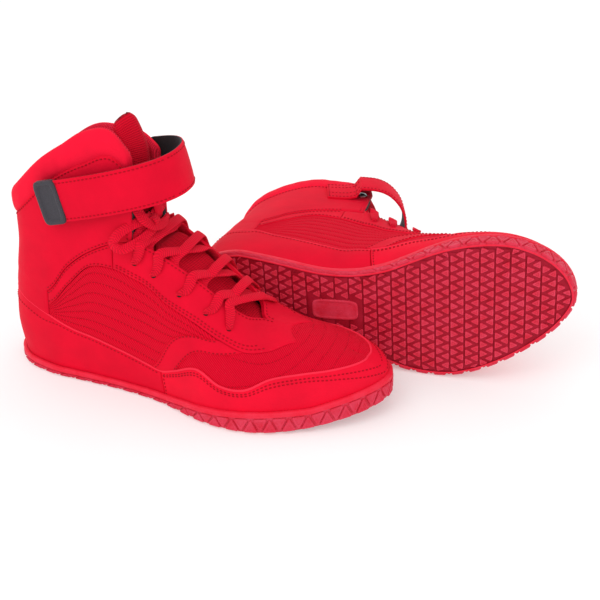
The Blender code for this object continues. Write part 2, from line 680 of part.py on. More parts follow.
def make_tab(boot, rear, origin, parent):
    """The moulded pull tab: a rounded plate with a raised rim, on the strap's end."""
    end = Vector(rear[-1])
    start = end + (Vector(rear[-2]) - end).normalized() * STRAP_TAB_LENGTH
    middle = (start + end) / 2
    point, up = strap_frame(*middle)
    length = Vector((end.x - start.x, end.y - start.y, 0.0))
    length.z = strap_frame(*end)[0].z - strap_frame(*start)[0].z
    length.normalize()
    out = up.cross(length).normalized()
    if out.y > 0:
        out = -out
    rings = []
    for height, inset in ((-1.0, 0.0), (TAB_THICKNESS - 1.6, 0.0), (TAB_THICKNESS - 1.0, 0.7)):
        rings.append(rounded_ring(point, length, up, out, height, inset))
    rings.append(rounded_ring(point, length, up, out, TAB_THICKNESS - 1.0, 2.6))
    rings.append(rounded_ring(point, length, up, out, TAB_THICKNESS - 1.7, 3.1))
    loft(boot, "strap_tab", rings, "black_rubber", origin, parent)


def rounded_ring(centre, length, up, out, height, inset):
    """A ring of a rectangle with cut corners, round the pull tab."""
    along_half = STRAP_TAB_LENGTH / 2 - 0.3 - inset
    across_half = (STRAP_WIDTH + 1.5) / 2 - inset
    cut = max(2.6 - inset * 0.6, 0.6)
    ring = []
    for sx, sy, first in ((1, 1, True), (-1, 1, False), (-1, -1, True), (1, -1, False)):
        near_side = (sx * along_half, sy * (across_half - cut))
        near_end = (sx * (along_half - cut), sy * across_half)
        for u, v in ((near_side, near_end) if first else (near_end, near_side)):
            ring.append(centre + length * u + up * v + out * height)
    return ring


# ---------------------------------------------------------------- laces and eyelets


def over_edge(boot, side, column):
    """Where the lace passes over the edge of a flap."""
    edge = lattice_point(boot, side, column, 5.0, 0.0)
    normal = lattice_point(boot, side, column, 5.0, 1.0) - edge
    return edge + (normal + Vector(THROAT_UP)).normalized() * LACE_OVER_EDGE


def crossing(boot, side, number, lift):
    """From under one eyelet over the throat to the top of the other side's next eyelet up, and down into it."""
    low, high = EYELET_COLUMNS[side][number], EYELET_COLUMNS[-side][number - 1]
    near = lattice_point(boot, side, low + (high - low) * EDGE_SHARE, 5.0, LACE_BELOW)
    far = over_edge(boot, -side, max(high + (low - high) * EDGE_SHARE, FIRST_EDGE_COLUMN))
    across = far - near
    middle = (near + far) / 2 + Vector(THROAT_UP) * (LACE_RAISE + lift)
    return [
        lattice_point(boot, side, low, EYELET_ROW, LACE_BELOW),
        near,
        middle - across * 0.12,
        middle + across * 0.12,
        far,
        lattice_point(boot, -side, high, EYELET_ROW, LACE_ABOVE),
    ]


def lace_strand(boot, side):
    """One half of the lace: from the bottom bar's end on one side up to under the top eyelet of the eyestay."""
    points = [lattice_point(boot, side, EYELET_COLUMNS[side][-1], EYELET_ROW, LACE_ABOVE)]
    at = side
    for number in range(EYELET_COUNT - 1, 0, -1):
        lift = LACE_CROSSING if at < 0 else -LACE_CROSSING
        points += crossing(boot, at, number, lift)
        at = -at
    points.append(lattice_point(boot, at, EYELET_COLUMNS[at][0], EYELET_ROW, LACE_BELOW))
    return points


def rounded(points):
    """A polyline with each corner cut, so that the lace bends in two steps."""
    result = [points[0]]
    for before, corner, after in zip(points, points[1:], points[2:]):
        for other in (before, after):
            span = (other - corner).length
            result.append(corner.lerp(other, min(LACE_BEND / span, 0.4)))
    return result + [points[-1]]


def tube(boot, name, points, radius, sides, material):
    """A round tube along a polyline, with its cross-section carried from point to point without twist."""
    rings = []
    side_axis = None
    last = len(points) - 1
    for i, point in enumerate(points):
        tangent = (points[min(i + 1, last)] - points[max(i - 1, 0)]).normalized()
        if side_axis is None:
            side_axis = tangent.orthogonal()
        side_axis = (side_axis - tangent * side_axis.dot(tangent)).normalized()
        other_axis = tangent.cross(side_axis)
        ring = []
        for k in range(sides):
            angle = 2 * math.pi * k / sides
            ring.append(point + (side_axis * math.cos(angle) + other_axis * math.sin(angle)) * radius)
        rings.append(ring)
    return loft(boot, name, rings, material)


def make_lace(boot):
    """The whole lace: the bottom bar, two crossing halves, and the two ends tied in front of the tongue."""
    # The strand that starts on one side ends, after four crossings, on the same side.
    lateral = lace_strand(boot, -1) + [Vector(point) for point in LATERAL_END]
    medial = lace_strand(boot, 1) + [Vector(point) for point in MEDIAL_END]
    bar = [over_edge(boot, side, EYELET_COLUMNS[side][-1]) for side in (-1, 1)]
    points = list(reversed(lateral)) + bar + medial
    tube(boot, "lace", rounded(points), LACE_RADIUS, LACE_SIDES, "lace")


def make_eyelet_holes(boot):
    """One cutter with a prism for each eyelet, taken out of the eyestay."""
    vertices, faces = [], []
    for side in (-1, 1):
        for column in EYELET_COLUMNS[side]:
            top = lattice_point(boot, side, column, EYELET_ROW, EYELET_HOLE_DEPTH[0])
            bottom = lattice_point(boot, side, column, EYELET_ROW, EYELET_HOLE_DEPTH[1])
            axis = (top - bottom).normalized()
            first = axis.orthogonal().normalized()
            second = axis.cross(first)
            start = len(vertices)
            for end in (bottom, top):
                for k in range(LACE_SIDES):
                    angle = 2 * math.pi * k / LACE_SIDES
                    turned = first * math.cos(angle) + second * math.sin(angle)
                    vertices.append(end + turned * EYELET_HOLE_RADIUS)
            for k in range(LACE_SIDES):
                j = (k + 1) % LACE_SIDES
                faces.append((start + k, start + j, start + LACE_SIDES + j, start + LACE_SIDES + k))
            faces.append(tuple(start + k for k in reversed(range(LACE_SIDES))))
            faces.append(tuple(start + LACE_SIDES + k for k in range(LACE_SIDES)))
    cutter = add_object(boot, "eyelet_holes", vertices, faces, "lace")
    cutter.hide_render = True
    cutter.display_type = "WIRE"
    modifier = bpy.data.objects[boot["prefix"] + "eyestay"].modifiers.new("holes", "BOOLEAN")
    modifier.operation = "DIFFERENCE"
    modifier.solver = "EXACT"
    modifier.object = cutter


def make_top_eyelets(boot):
    """A flat steel ring on each ankle quarter."""
    for side, name in ((-1, "top_eyelet_lateral"), (1, "top_eyelet_medial")):
        centre = lattice_point(boot, side, *TOP_EYELET, 0.0)
        axis = lattice_point(boot, side, *TOP_EYELET, 1.0) - centre
        axis.normalize()
        first = axis.orthogonal().normalized()
        second = axis.cross(first)
        inner, outer = TOP_EYELET_RADII
        low, high = TOP_EYELET_HEIGHTS
        vertices, faces = [], []
        for k in range(TOP_EYELET_SIDES):
            angle = 2 * math.pi * k / TOP_EYELET_SIDES
            turned = first * math.cos(angle) + second * math.sin(angle)
            for radius, height in ((inner, low), (outer, low), (outer, high), (inner, high)):
                vertices.append(centre + turned * radius + axis * height)
            here, ahead = 4 * k, 4 * ((k + 1) % TOP_EYELET_SIDES)
            for i in range(4):
                j = (i + 1) % 4
                faces.append((here + i, here + j, ahead + j, ahead + i))
        add_object(boot, name, vertices, faces, "steel")


# ---------------------------------------------------------------- the pair


def place_boot(boot):
    """Turns a boot to its pose: the right one stands, the left one lies on its lateral side."""
    root = boot["root"]
    if boot["side"] > 0:
        root.matrix_world = Matrix.Rotation(RIGHT_YAW, 4, "Z")
        return
    turn = Matrix.Rotation(LEFT_YAW, 4, "Z") @ Matrix.Rotation(LEFT_PITCH, 4, "Y")
    place = Matrix.Translation((LEFT_OFFSET[0] * MM, LEFT_OFFSET[1] * MM, 0.0))
    root.matrix_world = place @ turn @ Matrix.Rotation(LEFT_ROLL, 4, "X")


def world_corners(prefix):
    """Every vertex of the visible pieces whose names start with a prefix, in world space."""
    bpy.context.view_layer.update()
    found = []
    for obj in bpy.data.objects:
        if obj.type == "MESH" and obj.name.startswith(prefix) and not obj.hide_render:
            found += [obj.matrix_world @ vertex.co for vertex in obj.data.vertices]
    return found


def settle(boots):
    """Puts each boot's lowest point on the ground and the middle of the pair over the origin."""
    for boot in boots:
        boot["root"].location.z -= min(corner.z for corner in world_corners(boot["prefix"]))
    corners = world_corners("")
    for axis in (0, 1):
        values = [corner[axis] for corner in corners]
        middle = (min(values) + max(values)) / 2
        for boot in boots:
            boot["root"].location[axis] -= middle


def make_boot(prefix, side, materials):
    root = bpy.data.objects.new(prefix + "boot", None)
    bpy.context.scene.collection.objects.link(root)
    boot = {"prefix": prefix, "side": side, "materials": materials, "root": root, "lattice": make_lattice()}
    make_outsole(boot)
    make_slabs(boot)
    make_panels(boot)
    make_tongue(boot)
    make_strap(boot)
    make_lace(boot)
    make_eyelet_holes(boot)
    make_top_eyelets(boot)
    place_boot(boot)
    return boot


def main():
    clear_scene()
    materials = make_materials()
    settle([make_boot("right_", 1, materials), make_boot("left_", -1, materials)])


main()
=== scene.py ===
import math

import bmesh
import bpy
import numpy as np
from mathutils import Matrix, Vector


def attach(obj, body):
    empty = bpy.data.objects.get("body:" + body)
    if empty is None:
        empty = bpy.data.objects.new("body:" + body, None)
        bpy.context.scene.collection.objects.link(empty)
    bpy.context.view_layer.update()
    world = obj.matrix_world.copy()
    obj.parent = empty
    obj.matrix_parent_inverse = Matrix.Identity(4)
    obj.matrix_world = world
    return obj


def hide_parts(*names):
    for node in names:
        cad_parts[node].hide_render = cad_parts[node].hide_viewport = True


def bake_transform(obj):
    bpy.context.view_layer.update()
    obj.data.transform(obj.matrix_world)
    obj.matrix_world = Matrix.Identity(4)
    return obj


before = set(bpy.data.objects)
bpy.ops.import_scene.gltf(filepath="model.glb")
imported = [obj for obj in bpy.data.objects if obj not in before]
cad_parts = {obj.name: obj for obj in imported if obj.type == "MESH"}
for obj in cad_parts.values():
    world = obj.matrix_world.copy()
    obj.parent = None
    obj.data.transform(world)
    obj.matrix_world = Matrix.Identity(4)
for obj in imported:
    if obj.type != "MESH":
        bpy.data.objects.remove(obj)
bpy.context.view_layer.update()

MM = 0.001

# ---------------------------------------------------------------- the CAD's measures, in mm

RIM_GAP, RIM_THICKNESS, RIM_OVERLAP = 0.45, 2.3, 2.5
RIM_WIDTH = RIM_GAP + RIM_THICKNESS
LEDGE_WIDTH, PLATE_THICKNESS = 6.8, 3.6
RIM_HEIGHTS = ((-5, 8.5), (50, 7.5), (105, 7.0), (135, 8.0), (165, 12.5), (200, 16.5), (245, 19.0),
               (289, 30.0))
# (sole x, sole y, top x, top y, top z, arch, bulge, waist, guard, strip low, strip high, seam)
MERIDIANS = (
    (-1.0, 0.0, 7.0, 0.0, 134.0, 0.0, 4.5, -3.5, 61.0, 68.0, 77.0, 117.0),
    (4.5, -15.0, 12.0, -15.0, 139.0, 0.0, 4.0, -3.0, 60.0, 67.0, 77.0, 121.0),
    (18.0, -27.0, 24.0, -25.0, 150.0, 0.0, 3.0, -2.0, 57.0, 65.0, 77.0, 131.0),
    (40.0, -33.5, 44.0, -29.0, 169.0, 0.0, 2.5, -1.0, 50.0, 59.0, 70.0, 150.0),
    (58.0, -34.5, 61.0, -29.0, 181.0, 0.0, 2.5, 0.0, 43.0, 78.0, 92.0, 163.0),
    (76.0, -35.0, 78.0, -28.0, 192.0, 0.0, 2.5, 0.0, 39.0, 95.0, 106.0, 172.0),
    (94.0, -36.0, 97.0, -25.0, 195.0, 0.0, 2.5, 0.0, 34.0, 96.0, 115.0, 179.0),
    (108.0, -37.5, 112.0, -22.5, 178.0, 0.1, 2.0, 0.0, 30.0, 91.0, 118.0, 166.0),
    (121.0, -39.5, 115.0, -26.0, 117.5, 0.15, 2.0, 0.0, 27.5, 88.0, 117.5, 117.5),
    (134.0, -42.5, 120.0, -25.0, 115.0, 0.2, 2.0, 0.0, 26.0, 84.0, 115.0, 115.0),
    (148.0, -47.5, 127.0, -23.0, 110.5, 0.3, 1.5, 0.0, 31.0, 77.0, 110.5, 110.5),
    (166.0, -54.0, 149.0, -20.0, 97.0, 0.45, 1.5, 0.0, 38.5, 69.0, 97.0, 97.0),
    (184.0, -57.0, 170.0, -17.0, 81.0, 0.6, 1.5, 0.0, 31.5, 60.0, 81.0, 81.0),
    (202.0, -56.5, 187.0, -12.0, 67.5, 0.8, 1.5, 0.0, 32.0, 53.5, 67.5, 67.5),
    (220.0, -51.5, 198.0, 0.0, 60.5, 1.0, 1.5, 0.0, 39.0, 52.0, 60.5, 60.5),
    (240.0, -42.5, 217.0, 0.5, 57.5, 1.0, 1.5, 0.0, 41.0, 54.0, 57.5, 57.5),
    (257.0, -32.0, 235.0, 1.5, 54.0, 1.0, 1.5, 0.0, 41.5, 49.0, 54.0, 54.0),
    (272.0, -20.5, 248.0, 2.5, 50.5, 1.0, 1.5, 0.0, 42.0, 46.5, 50.5, 50.5),
    (283.0, -8.0, 257.0, 3.5, 47.0, 1.0, 1.5, 0.0, 42.0, 44.5, 47.0, 47.0),
    (288.5, 5.0, 261.0, 4.0, 45.0, 1.0, 1.5, 0.0, 42.0, 43.5, 45.0, 45.0),
    (285.0, 20.0, 257.0, 3.5, 47.0, 1.0, 1.5, 0.0, 42.0, 44.5, 47.0, 47.0),
    (275.0, 33.5, 248.0, 2.5, 50.5, 1.0, 1.5, 0.0, 42.0, 46.5, 50.5, 50.5),
    (260.0, 44.0, 235.0, 1.5, 54.0, 1.0, 1.5, 0.0, 41.5, 49.0, 54.0, 54.0),
    (242.0, 50.0, 217.0, 0.5, 57.5, 1.0, 1.5, 0.0, 41.0, 54.0, 57.5, 57.5),
    (223.0, 50.5, 198.0, 0.0, 60.5, 1.0, 1.5, 0.0, 39.0, 52.0, 60.5, 60.5),
    (205.0, 47.5, 190.0, 12.0, 67.5, 0.8, 2.0, 0.0, 34.0, 54.0, 67.5, 67.5),
    (188.0, 42.0, 174.0, 16.5, 81.0, 0.6, 3.0, 0.0, 32.0, 60.0, 81.0, 81.0),
    (171.0, 34.5, 153.0, 19.0, 97.0, 0.45, 5.0, 0.0, 35.0, 69.0, 97.0, 97.0),
    (155.0, 27.5, 130.0, 22.0, 110.5, 0.3, 7.0, 0.0, 31.0, 77.0, 110.5, 110.5),
    (142.0, 24.0, 121.0, 24.5, 115.0, 0.2, 8.0, 0.0, 29.0, 84.0, 115.0, 115.0),
    (130.0, 22.0, 115.0, 25.0, 117.5, 0.15, 8.5, 0.0, 29.5, 88.0, 117.5, 117.5),
    (117.0, 21.5, 112.0, 22.5, 168.0, 0.1, 8.5, 0.0, 31.0, 91.0, 118.0, 157.0),
    (100.0, 23.0, 98.0, 24.5, 178.0, 0.0, 8.0, 0.0, 34.0, 96.0, 115.0, 164.0),
    (78.0, 27.5, 78.0, 26.5, 180.0, 0.0, 5.5, 0.0, 39.0, 95.0, 106.0, 164.0),
    (59.0, 31.0, 61.0, 28.0, 178.0, 0.0, 3.5, 0.0, 43.0, 78.0, 92.0, 161.0),
    (40.0, 33.0, 44.0, 28.0, 168.0, 0.0, 2.5, -1.0, 50.0, 59.0, 70.0, 149.0),
    (18.0, 27.0, 24.0, 24.5, 150.0, 0.0, 3.0, -2.0, 57.0, 65.0, 77.0, 131.0),
    (4.5, 14.5, 12.0, 14.5, 139.0, 0.0, 4.0, -3.0, 60.0, 67.0, 77.0, 121.0),
)
COLUMNS = len(MERIDIANS)
TOE, NOTCH, THROAT_FRONT = 19, 8, 14
EYELET_COLUMNS = {-1: (7.2, 9.35, 10.6, 11.5, 12.35), 1: (9.2, 10.35, 11.25, 12.1, 12.9)}
EYELET_ROW = 4.47
TOP_EYELET = (6.45, 6.62)
LACE_BELOW = -4.1
THROAT_UP = np.array((0.45, 0.0, 0.89))
TONGUE_COLUMNS = (14.0, 13.6, 13.2, 12.6, 11.9, 11.2, 10.6, 10.0)
TONGUE_ROWS = (4.7, 4.85, 5.0)
TONGUE_DEPTH, TONGUE_THICKNESS = -8.0, 3.6
TONGUE_STATIONS = ((117.5, 111.5, 12.5, 5.0), (113.5, 124.0, 11.5, 5.0), (111.5, 142.0, 15.0, 8.0),
                   (112.0, 160.0, 15.5, 8.0), (110.5, 178.0, 14.5, 7.0), (104.0, 193.0, 14.5, 6.0))
STRAP_WIDTH, STRAP_TILT = 30.0, math.atan(0.26)
STRAP_ROUTE = ((104.0, 34.0), (118.0, 31.5), (128.0, 25.5), (135.5, 15.0), (138.5, 3.0), (137.5, -9.0),
               (131.5, -19.5), (121.0, -27.0), (108.0, -32.0), (94.0, -35.2), (80.0, -36.9), (66.0, -37.7),
               (48.0, -37.7))
STRAP_CORNER, ROUTE_STEPS = 6, 8
STRAP_HEIGHT, STRAP_LEVEL_X = 144.0, 56.0
TAB_LENGTH = 17.0
ARC_CENTRE = (188.0, -1.0)
ARC_PITCH = 8.5


def along(points, x):
    return float(np.interp(x, [p[0] for p in points], [p[1] for p in points]))


def bottom_height(x):
    toe = np.maximum(0.0, np.asarray(x, float) - 205.0) / 84.0
    heel = np.maximum(0.0, 16.0 - np.asarray(x, float)) / 16.0
    return 13.0 * toe ** 2 + 2.0 * heel ** 2


def weights(t):
    """Catmull-Rom weights of the four points round t."""
    t = np.asarray(t, float)
    return np.stack([(-t + 2 * t ** 2 - t ** 3) / 2, (2 - 5 * t ** 2 + 3 * t ** 3) / 2,
                     (t + 4 * t ** 2 - 3 * t ** 3) / 2, (-t ** 2 + t ** 3) / 2], -1)


TABLE = np.array(MERIDIANS)


def signed_column(a):
    """Columns counted from the heel both ways: lateral ones are positive."""
    return (a + COLUMNS / 2) % COLUMNS - COLUMNS / 2


def strap_height(x):
    """Height of the strap's middle line, which rises towards the toe."""
    return STRAP_HEIGHT + (x - STRAP_LEVEL_X) * math.tan(STRAP_TILT)


def meridian(a):
    i = math.floor(a)
    rows = TABLE[[(i + k) % COLUMNS for k in (-1, 0, 1, 2)]]
    return weights(a - i) @ rows


def unit(v):
    v = np.asarray(v, float)
    return v / np.maximum(np.linalg.norm(v, axis=-1, keepdims=True), 1e-9)


def outward(a):
    before, after = meridian(a - 0.5), meridian(a + 0.5)
    return unit((after[1] - before[1], before[0] - after[0], 0.0))


def rise(row, b):
    angle = b * math.pi / 2
    arch = min(max(row[5], 0.0), 1.0)
    inward = (1 - arch) * b + arch * (1 - math.cos(angle) ** 0.9)
    upward = (1 - arch) * b + arch * math.sin(angle) ** 0.9
    start = along(RIM_HEIGHTS, row[0]) - RIM_OVERLAP
    lean = -0.2 * (row[2] - row[0]) * arch
    return inward, start + (row[4] - start - lean) * upward + lean * inward


def upper_point(a, b):
    row = meridian(a)
    inward, z = rise(row, b)
    low = b / 0.22 * math.exp(1 - b / 0.22) * (1 - b * b)
    high = math.sin(math.pi * max(0.0, b - 0.45) / 0.55) ** 2
    place = np.array((row[0] + (row[2] - row[0]) * inward, row[1] + (row[3] - row[1]) * inward, z))
    return place + outward(a) * (row[6] * low + row[7] * high - RIM_WIDTH * (1 - inward))


def fraction_at(row, height):
    low, high = 0.0, 1.0
    for _ in range(30):
        middle = (low + high) / 2
        low, high = (middle, high) if rise(row, middle)[1] < height else (low, middle)
    return low


def make_nets():
    """Two control nets of the upper: rows -1 to 6 all round, and rows 4 to 9 of the ankle."""
    points = np.zeros((COLUMNS, 9, 3))
    for column in range(COLUMNS):
        row = TABLE[column]
        guard, low, high, seam = (fraction_at(row, height) for height in row[8:12])
        if NOTCH <= column <= COLUMNS - NOTCH:
            high = seam = 1.0
        low = min(low, 0.97)
        rows = (0.0, guard / 2, guard, (guard + low) / 2, low, high, (high + seam) / 2, seam, 1.0)
        points[column] = [upper_point(column, b) for b in rows]
    low_net = np.zeros((COLUMNS, 8, 3))
    for column in range(COLUMNS):
        low_net[column, 1:7] = points[column, 0:6]
        low_net[column, 0] = 2 * points[column, 0] - points[column, 1]
        if column <= 7 or column >= COLUMNS - 7:
            low_net[column, 7] = points[column, 6]
        elif THROAT_FRONT <= column <= COLUMNS - THROAT_FRONT:
            low_net[column, 7] = points[COLUMNS - column, 4]
        else:
            low_net[column, 7] = 2 * points[column, 5] - points[column, 4]
    high_net = np.zeros((17, 6, 3))
    for k, column in enumerate(range(-8, 9)):
        source = points[max(min(column, 7), -7) % COLUMNS]
        if abs(column) == 8:
            inner = points[(6 if column > 0 else -6) % COLUMNS]
            source = 2 * source - inner
        high_net[k, :5] = source[4:9]
        high_net[k, 5] = 2 * source[8] - source[7]
    return low_net, high_net


def row_tangents(net):
    """Tangents along the rows, kept short where rows are close together, so that the surface doesn't fold."""
    steps = np.diff(net, axis=1)
    before = np.concatenate([steps[:, :1], steps], 1)
    after = np.concatenate([steps, steps[:, -1:]], 1)
    mean = (before + after) / 2
    shorter = np.minimum(np.linalg.norm(before, axis=-1), np.linalg.norm(after, axis=-1))
    length = np.maximum(np.linalg.norm(mean, axis=-1), 1e-9)
    return mean * np.minimum(1.0, 1.4 * shorter / length)[..., None]


LOW_NET, HIGH_NET = make_nets()
LOW_TANGENTS, HIGH_TANGENTS = row_tangents(LOW_NET), row_tangents(HIGH_NET)


def surf(a, r):
    """Points of the upper's outer surface at columns a (negative is medial) and rows r."""
    a, r = np.broadcast_arrays(np.asarray(a, float), np.asarray(r, float))
    result = np.zeros(a.shape + (3,))
    signed = signed_column(a)
    high = (r > 5.0) & (np.abs(signed) <= 7.6)
    for mask, net, tangents in ((~high, LOW_NET, LOW_TANGENTS), (high, HIGH_NET, HIGH_TANGENTS)):
        if not mask.any():
            continue
        aa, rr = signed[mask], r[mask]
        i = np.floor(aa).astype(int)
        if net is LOW_NET:
            j = np.clip(np.floor(rr).astype(int), 0, 4)
            ci = [(i + k) % COLUMNS for k in (-1, 0, 1, 2)]
            first = j + 1
        else:
            j = np.clip(np.floor(rr).astype(int), 5, 7)
            ci = [np.clip(i + 8 + k, 0, 16) for k in (-1, 0, 1, 2)]
            first = j - 4
        wu, t = weights(aa - i), (rr - j)[:, None]
        h0, h1 = 2 * t ** 3 - 3 * t ** 2 + 1, t ** 3 - 2 * t ** 2 + t
        h2, h3 = 3 * t ** 2 - 2 * t ** 3, t ** 3 - t ** 2
        total = 0.0
        for m in range(4):
            curve = (h0 * net[ci[m], first] + h1 * tangents[ci[m], first]
                     + h2 * net[ci[m], first + 1] + h3 * tangents[ci[m], first + 1])
            total = total + wu[:, m:m + 1] * curve
        result[mask] = total
    return result


def normal(a, r):
    a, r = np.broadcast_arrays(np.asarray(a, float), np.asarray(r, float))
    low, high = np.maximum(r - 0.04, 0.0), r + 0.04
    over = np.where(np.abs(signed_column(a)) <= 7.0, 7.98, 5.0)
    high = np.minimum(high, over)
    low = np.minimum(low, high - 0.04)
    up = surf(a, high) - surf(a, low)
    side = surf(a + 0.05, np.minimum(r, over)) - surf(a - 0.05, np.minimum(r, over))
    return -unit(np.cross(up, side))


def shell(a, r, offset):
    """Points at an offset from the surface."""
    return surf(a, r) + normal(a, r) * np.asarray(offset, float)[..., None]


def at(side, column, row, offset):
    return shell(np.array(column if side < 0 else -column), np.array(float(row)), np.array(float(offset)))


# ---------------------------------------------------------------- materials


def srgb(r, g, b):
    values = [v / 255 for v in (r, g, b)]
    return tuple(v / 12.92 if v <= 0.04045 else ((v + 0.055) / 1.055) ** 2.4 for v in values)


class Shader:
    """A node material with a few short ways to wire it."""

    def __init__(self, name, roughness, specular=0.3, sheen=0.0, sheen_tint=(1.0, 0.2, 0.25), metallic=0.0):
        self.material = bpy.data.materials.new(name)
        self.material.use_nodes = True
        self.tree = self.material.node_tree
        self.bsdf = self.tree.nodes["Principled BSDF"]
        self.set("Roughness", roughness)
        self.set("Specular IOR Level", specular)
        self.set("Metallic", metallic)
        if sheen:
            self.set("Sheen Weight", sheen)
            self.set("Sheen Roughness", 0.45)
            self.set("Sheen Tint", (*sheen_tint, 1.0))
        self.coordinates = self.tree.nodes.new("ShaderNodeTexCoord")
        self.height = None

    def set(self, socket, value):
        self.bsdf.inputs[socket].default_value = value

    def link(self, source, target):
        self.tree.links.new(source, target)

    def noise(self, scale, detail=3.0, rough=0.5, space="Object"):
        node = self.tree.nodes.new("ShaderNodeTexNoise")
        node.inputs["Scale"].default_value = scale
        node.inputs["Detail"].default_value = detail
        node.inputs["Roughness"].default_value = rough
        self.link(self.coordinates.outputs[space], node.inputs["Vector"])
        return node.outputs["Fac"]

    def math(self, operation, *values):
        node = self.tree.nodes.new("ShaderNodeMath")
        node.operation = operation
        for socket, value in zip(node.inputs, values):
            if isinstance(value, (int, float)):
                socket.default_value = value
            else:
                self.link(value, socket)
        return node.outputs[0]

    def ramp(self, value, stops):
        node = self.tree.nodes.new("ShaderNodeValToRGB")
        elements = node.color_ramp.elements
        for element, (place, colour) in zip(elements, stops[:2]):
            element.position = place
            element.color = (*colour, 1.0)
        for place, colour in stops[2:]:
            element = elements.new(place)
            element.color = (*colour, 1.0)
        self.link(value, node.inputs["Fac"])
        return node.outputs["Color"]

    def mix(self, factor, first, second):
        node = self.tree.nodes.new("ShaderNodeMix")
        node.data_type = "RGBA"
        for socket, value in ((node.inputs[0], factor), (node.inputs[6], first), (node.inputs[7], second)):
            if isinstance(value, tuple):
                socket.default_value = (*value, 1.0)
            elif isinstance(value, (int, float)):
                socket.default_value = value
            else:
                self.link(value, socket)
        return node.outputs[2]

    def colour(self, value):
        self.link(value, self.bsdf.inputs["Base Color"])

    def bump(self, height, strength, distance):
        node = self.tree.nodes.new("ShaderNodeBump")
        node.inputs["Strength"].default_value = strength
        node.inputs["Distance"].default_value = distance
        self.link(height, node.inputs["Height"])
        if self.height is not None:
            self.link(self.height, node.inputs["Normal"])
        self.height = node.outputs["Normal"]
        self.link(self.height, self.bsdf.inputs["Normal"])

    def uv(self):
        node = self.tree.nodes.new("ShaderNodeSeparateXYZ")
        self.link(self.coordinates.outputs["UV"], node.inputs[0])
        return node.outputs[0], node.outputs[1]


def scaled(colour, factor):
    return tuple(min(1.0, c * factor) for c in colour)


def make_nubuck(name, colour, roughness=0.72):
    s = Shader(name, roughness, 0.1, 0.06)
    broad = s.ramp(s.noise(38.0, 4.0, 0.55), [(0.3, scaled(colour, 0.9)), (0.72, scaled(colour, 1.07))])
    fine = s.noise(2600.0, 2.0, 0.6)
    s.colour(s.mix(s.ramp(fine, [(0.25, (0.35,) * 3), (0.6, (0.0,) * 3)]), broad, scaled(colour, 0.8)))
    s.bump(s.noise(1500.0, 3.0, 0.6), 0.35, 0.0002)
    s.bump(s.noise(160.0, 2.0, 0.5), 0.25, 0.0006)
    return s.material


def make_twill(name, colour):
    """Diagonal ribbed mesh; its UV map is in millimetres."""
    s = Shader(name, 0.85, 0.08, 0.08)
    u, v = s.uv()
    wobble = s.math("MULTIPLY", s.noise(120.0, 2.0), 0.9)
    diagonal = s.math("ADD", s.math("ADD", u, s.math("MULTIPLY", v, 0.8)), wobble)
    rib = s.math("SINE", s.math("MULTIPLY", diagonal, 2 * math.pi / 1.9))
    crossing = s.math("SUBTRACT", v, s.math("MULTIPLY", u, 0.35))
    cross = s.math("SINE", s.math("MULTIPLY", crossing, 2 * math.pi / 0.95))
    weave = s.math("ADD", s.math("MULTIPLY", rib, 0.6), s.math("MULTIPLY", cross, 0.3))
    shade = s.math("ADD", s.math("MULTIPLY", weave, 0.5), 0.5)
    s.colour(s.ramp(shade, [(0.05, scaled(colour, 0.62)), (0.75, scaled(colour, 1.12))]))
    s.bump(shade, 0.8, 0.0005)
    s.bump(s.noise(1800.0, 2.0), 0.3, 0.0002)
    return s.material


def make_knit(name, colour, period=2.0, dark=0.6):
    """Ribbed knit; its UV map is in millimetres, with the ribs along v."""
    s = Shader(name, 0.92, 0.06, 0.15)
    u, v = s.uv()
    rib = s.math("SINE", s.math("MULTIPLY", s.math("ADD", u, s.math("MULTIPLY", s.noise(90.0, 2.0), 1.2)),
                                2 * math.pi / period))
    loops = s.math("SINE", s.math("MULTIPLY", v, 2 * math.pi / 1.1))
    shade = s.math("ADD", s.math("ADD", s.math("MULTIPLY", rib, 0.35), s.math("MULTIPLY", loops, 0.15)), 0.5)
    s.colour(s.ramp(shade, [(0.1, scaled(colour, dark)), (0.8, scaled(colour, 1.1))]))
    s.bump(shade, 0.8, 0.0006)
    s.bump(s.noise(2200.0, 2.0), 0.4, 0.0002)
    return s.material


def make_lace_weave(name, colour):
    """Flat woven lace: chevrons along its length; u runs along it and v across, in millimetres."""
    s = Shader(name, 0.8, 0.1, 0.1)
    u, v = s.uv()
    bent = s.math("ADD", u, s.math("ABSOLUTE", v))
    chevron = s.math("SINE", s.math("MULTIPLY", bent, 2 * math.pi / 1.7))
    rows = s.math("SINE", s.math("MULTIPLY", v, 2 * math.pi / 1.25))
    shade = s.math("ADD", s.math("MULTIPLY", s.math("MULTIPLY", chevron, rows), 0.5), 0.5)
    s.colour(s.ramp(shade, [(0.1, scaled(colour, 0.68)), (0.7, scaled(colour, 1.2))]))
    s.bump(shade, 1.0, 0.0005)
    return s.material


def make_rubber(name, colour, tint, roughness=0.5, speckle=0.5):
    s = Shader(name, roughness, 0.15)
    mottled = s.ramp(s.noise(110.0, 5.0, 0.65), [(0.32, colour), (0.7, tint)])
    specks = s.ramp(s.noise(900.0, 2.0, 0.5), [(0.55, (0.0,) * 3), (0.72, (speckle,) * 3)])
    s.colour(s.mix(specks, mottled, scaled(tint, 1.15)))
    s.bump(s.noise(700.0, 3.0), 0.25, 0.0003)
    return s.material


def make_dark(name, colour, roughness, grain, strength):
    s = Shader(name, roughness, 0.35, 0.15, (0.6, 0.6, 0.65))
    s.colour(s.ramp(s.noise(grain, 3.0, 0.6), [(0.3, scaled(colour, 0.7)), (0.7, scaled(colour, 1.5))]))
    s.bump(s.noise(grain, 2.0), strength, 0.0004)
    return s.material


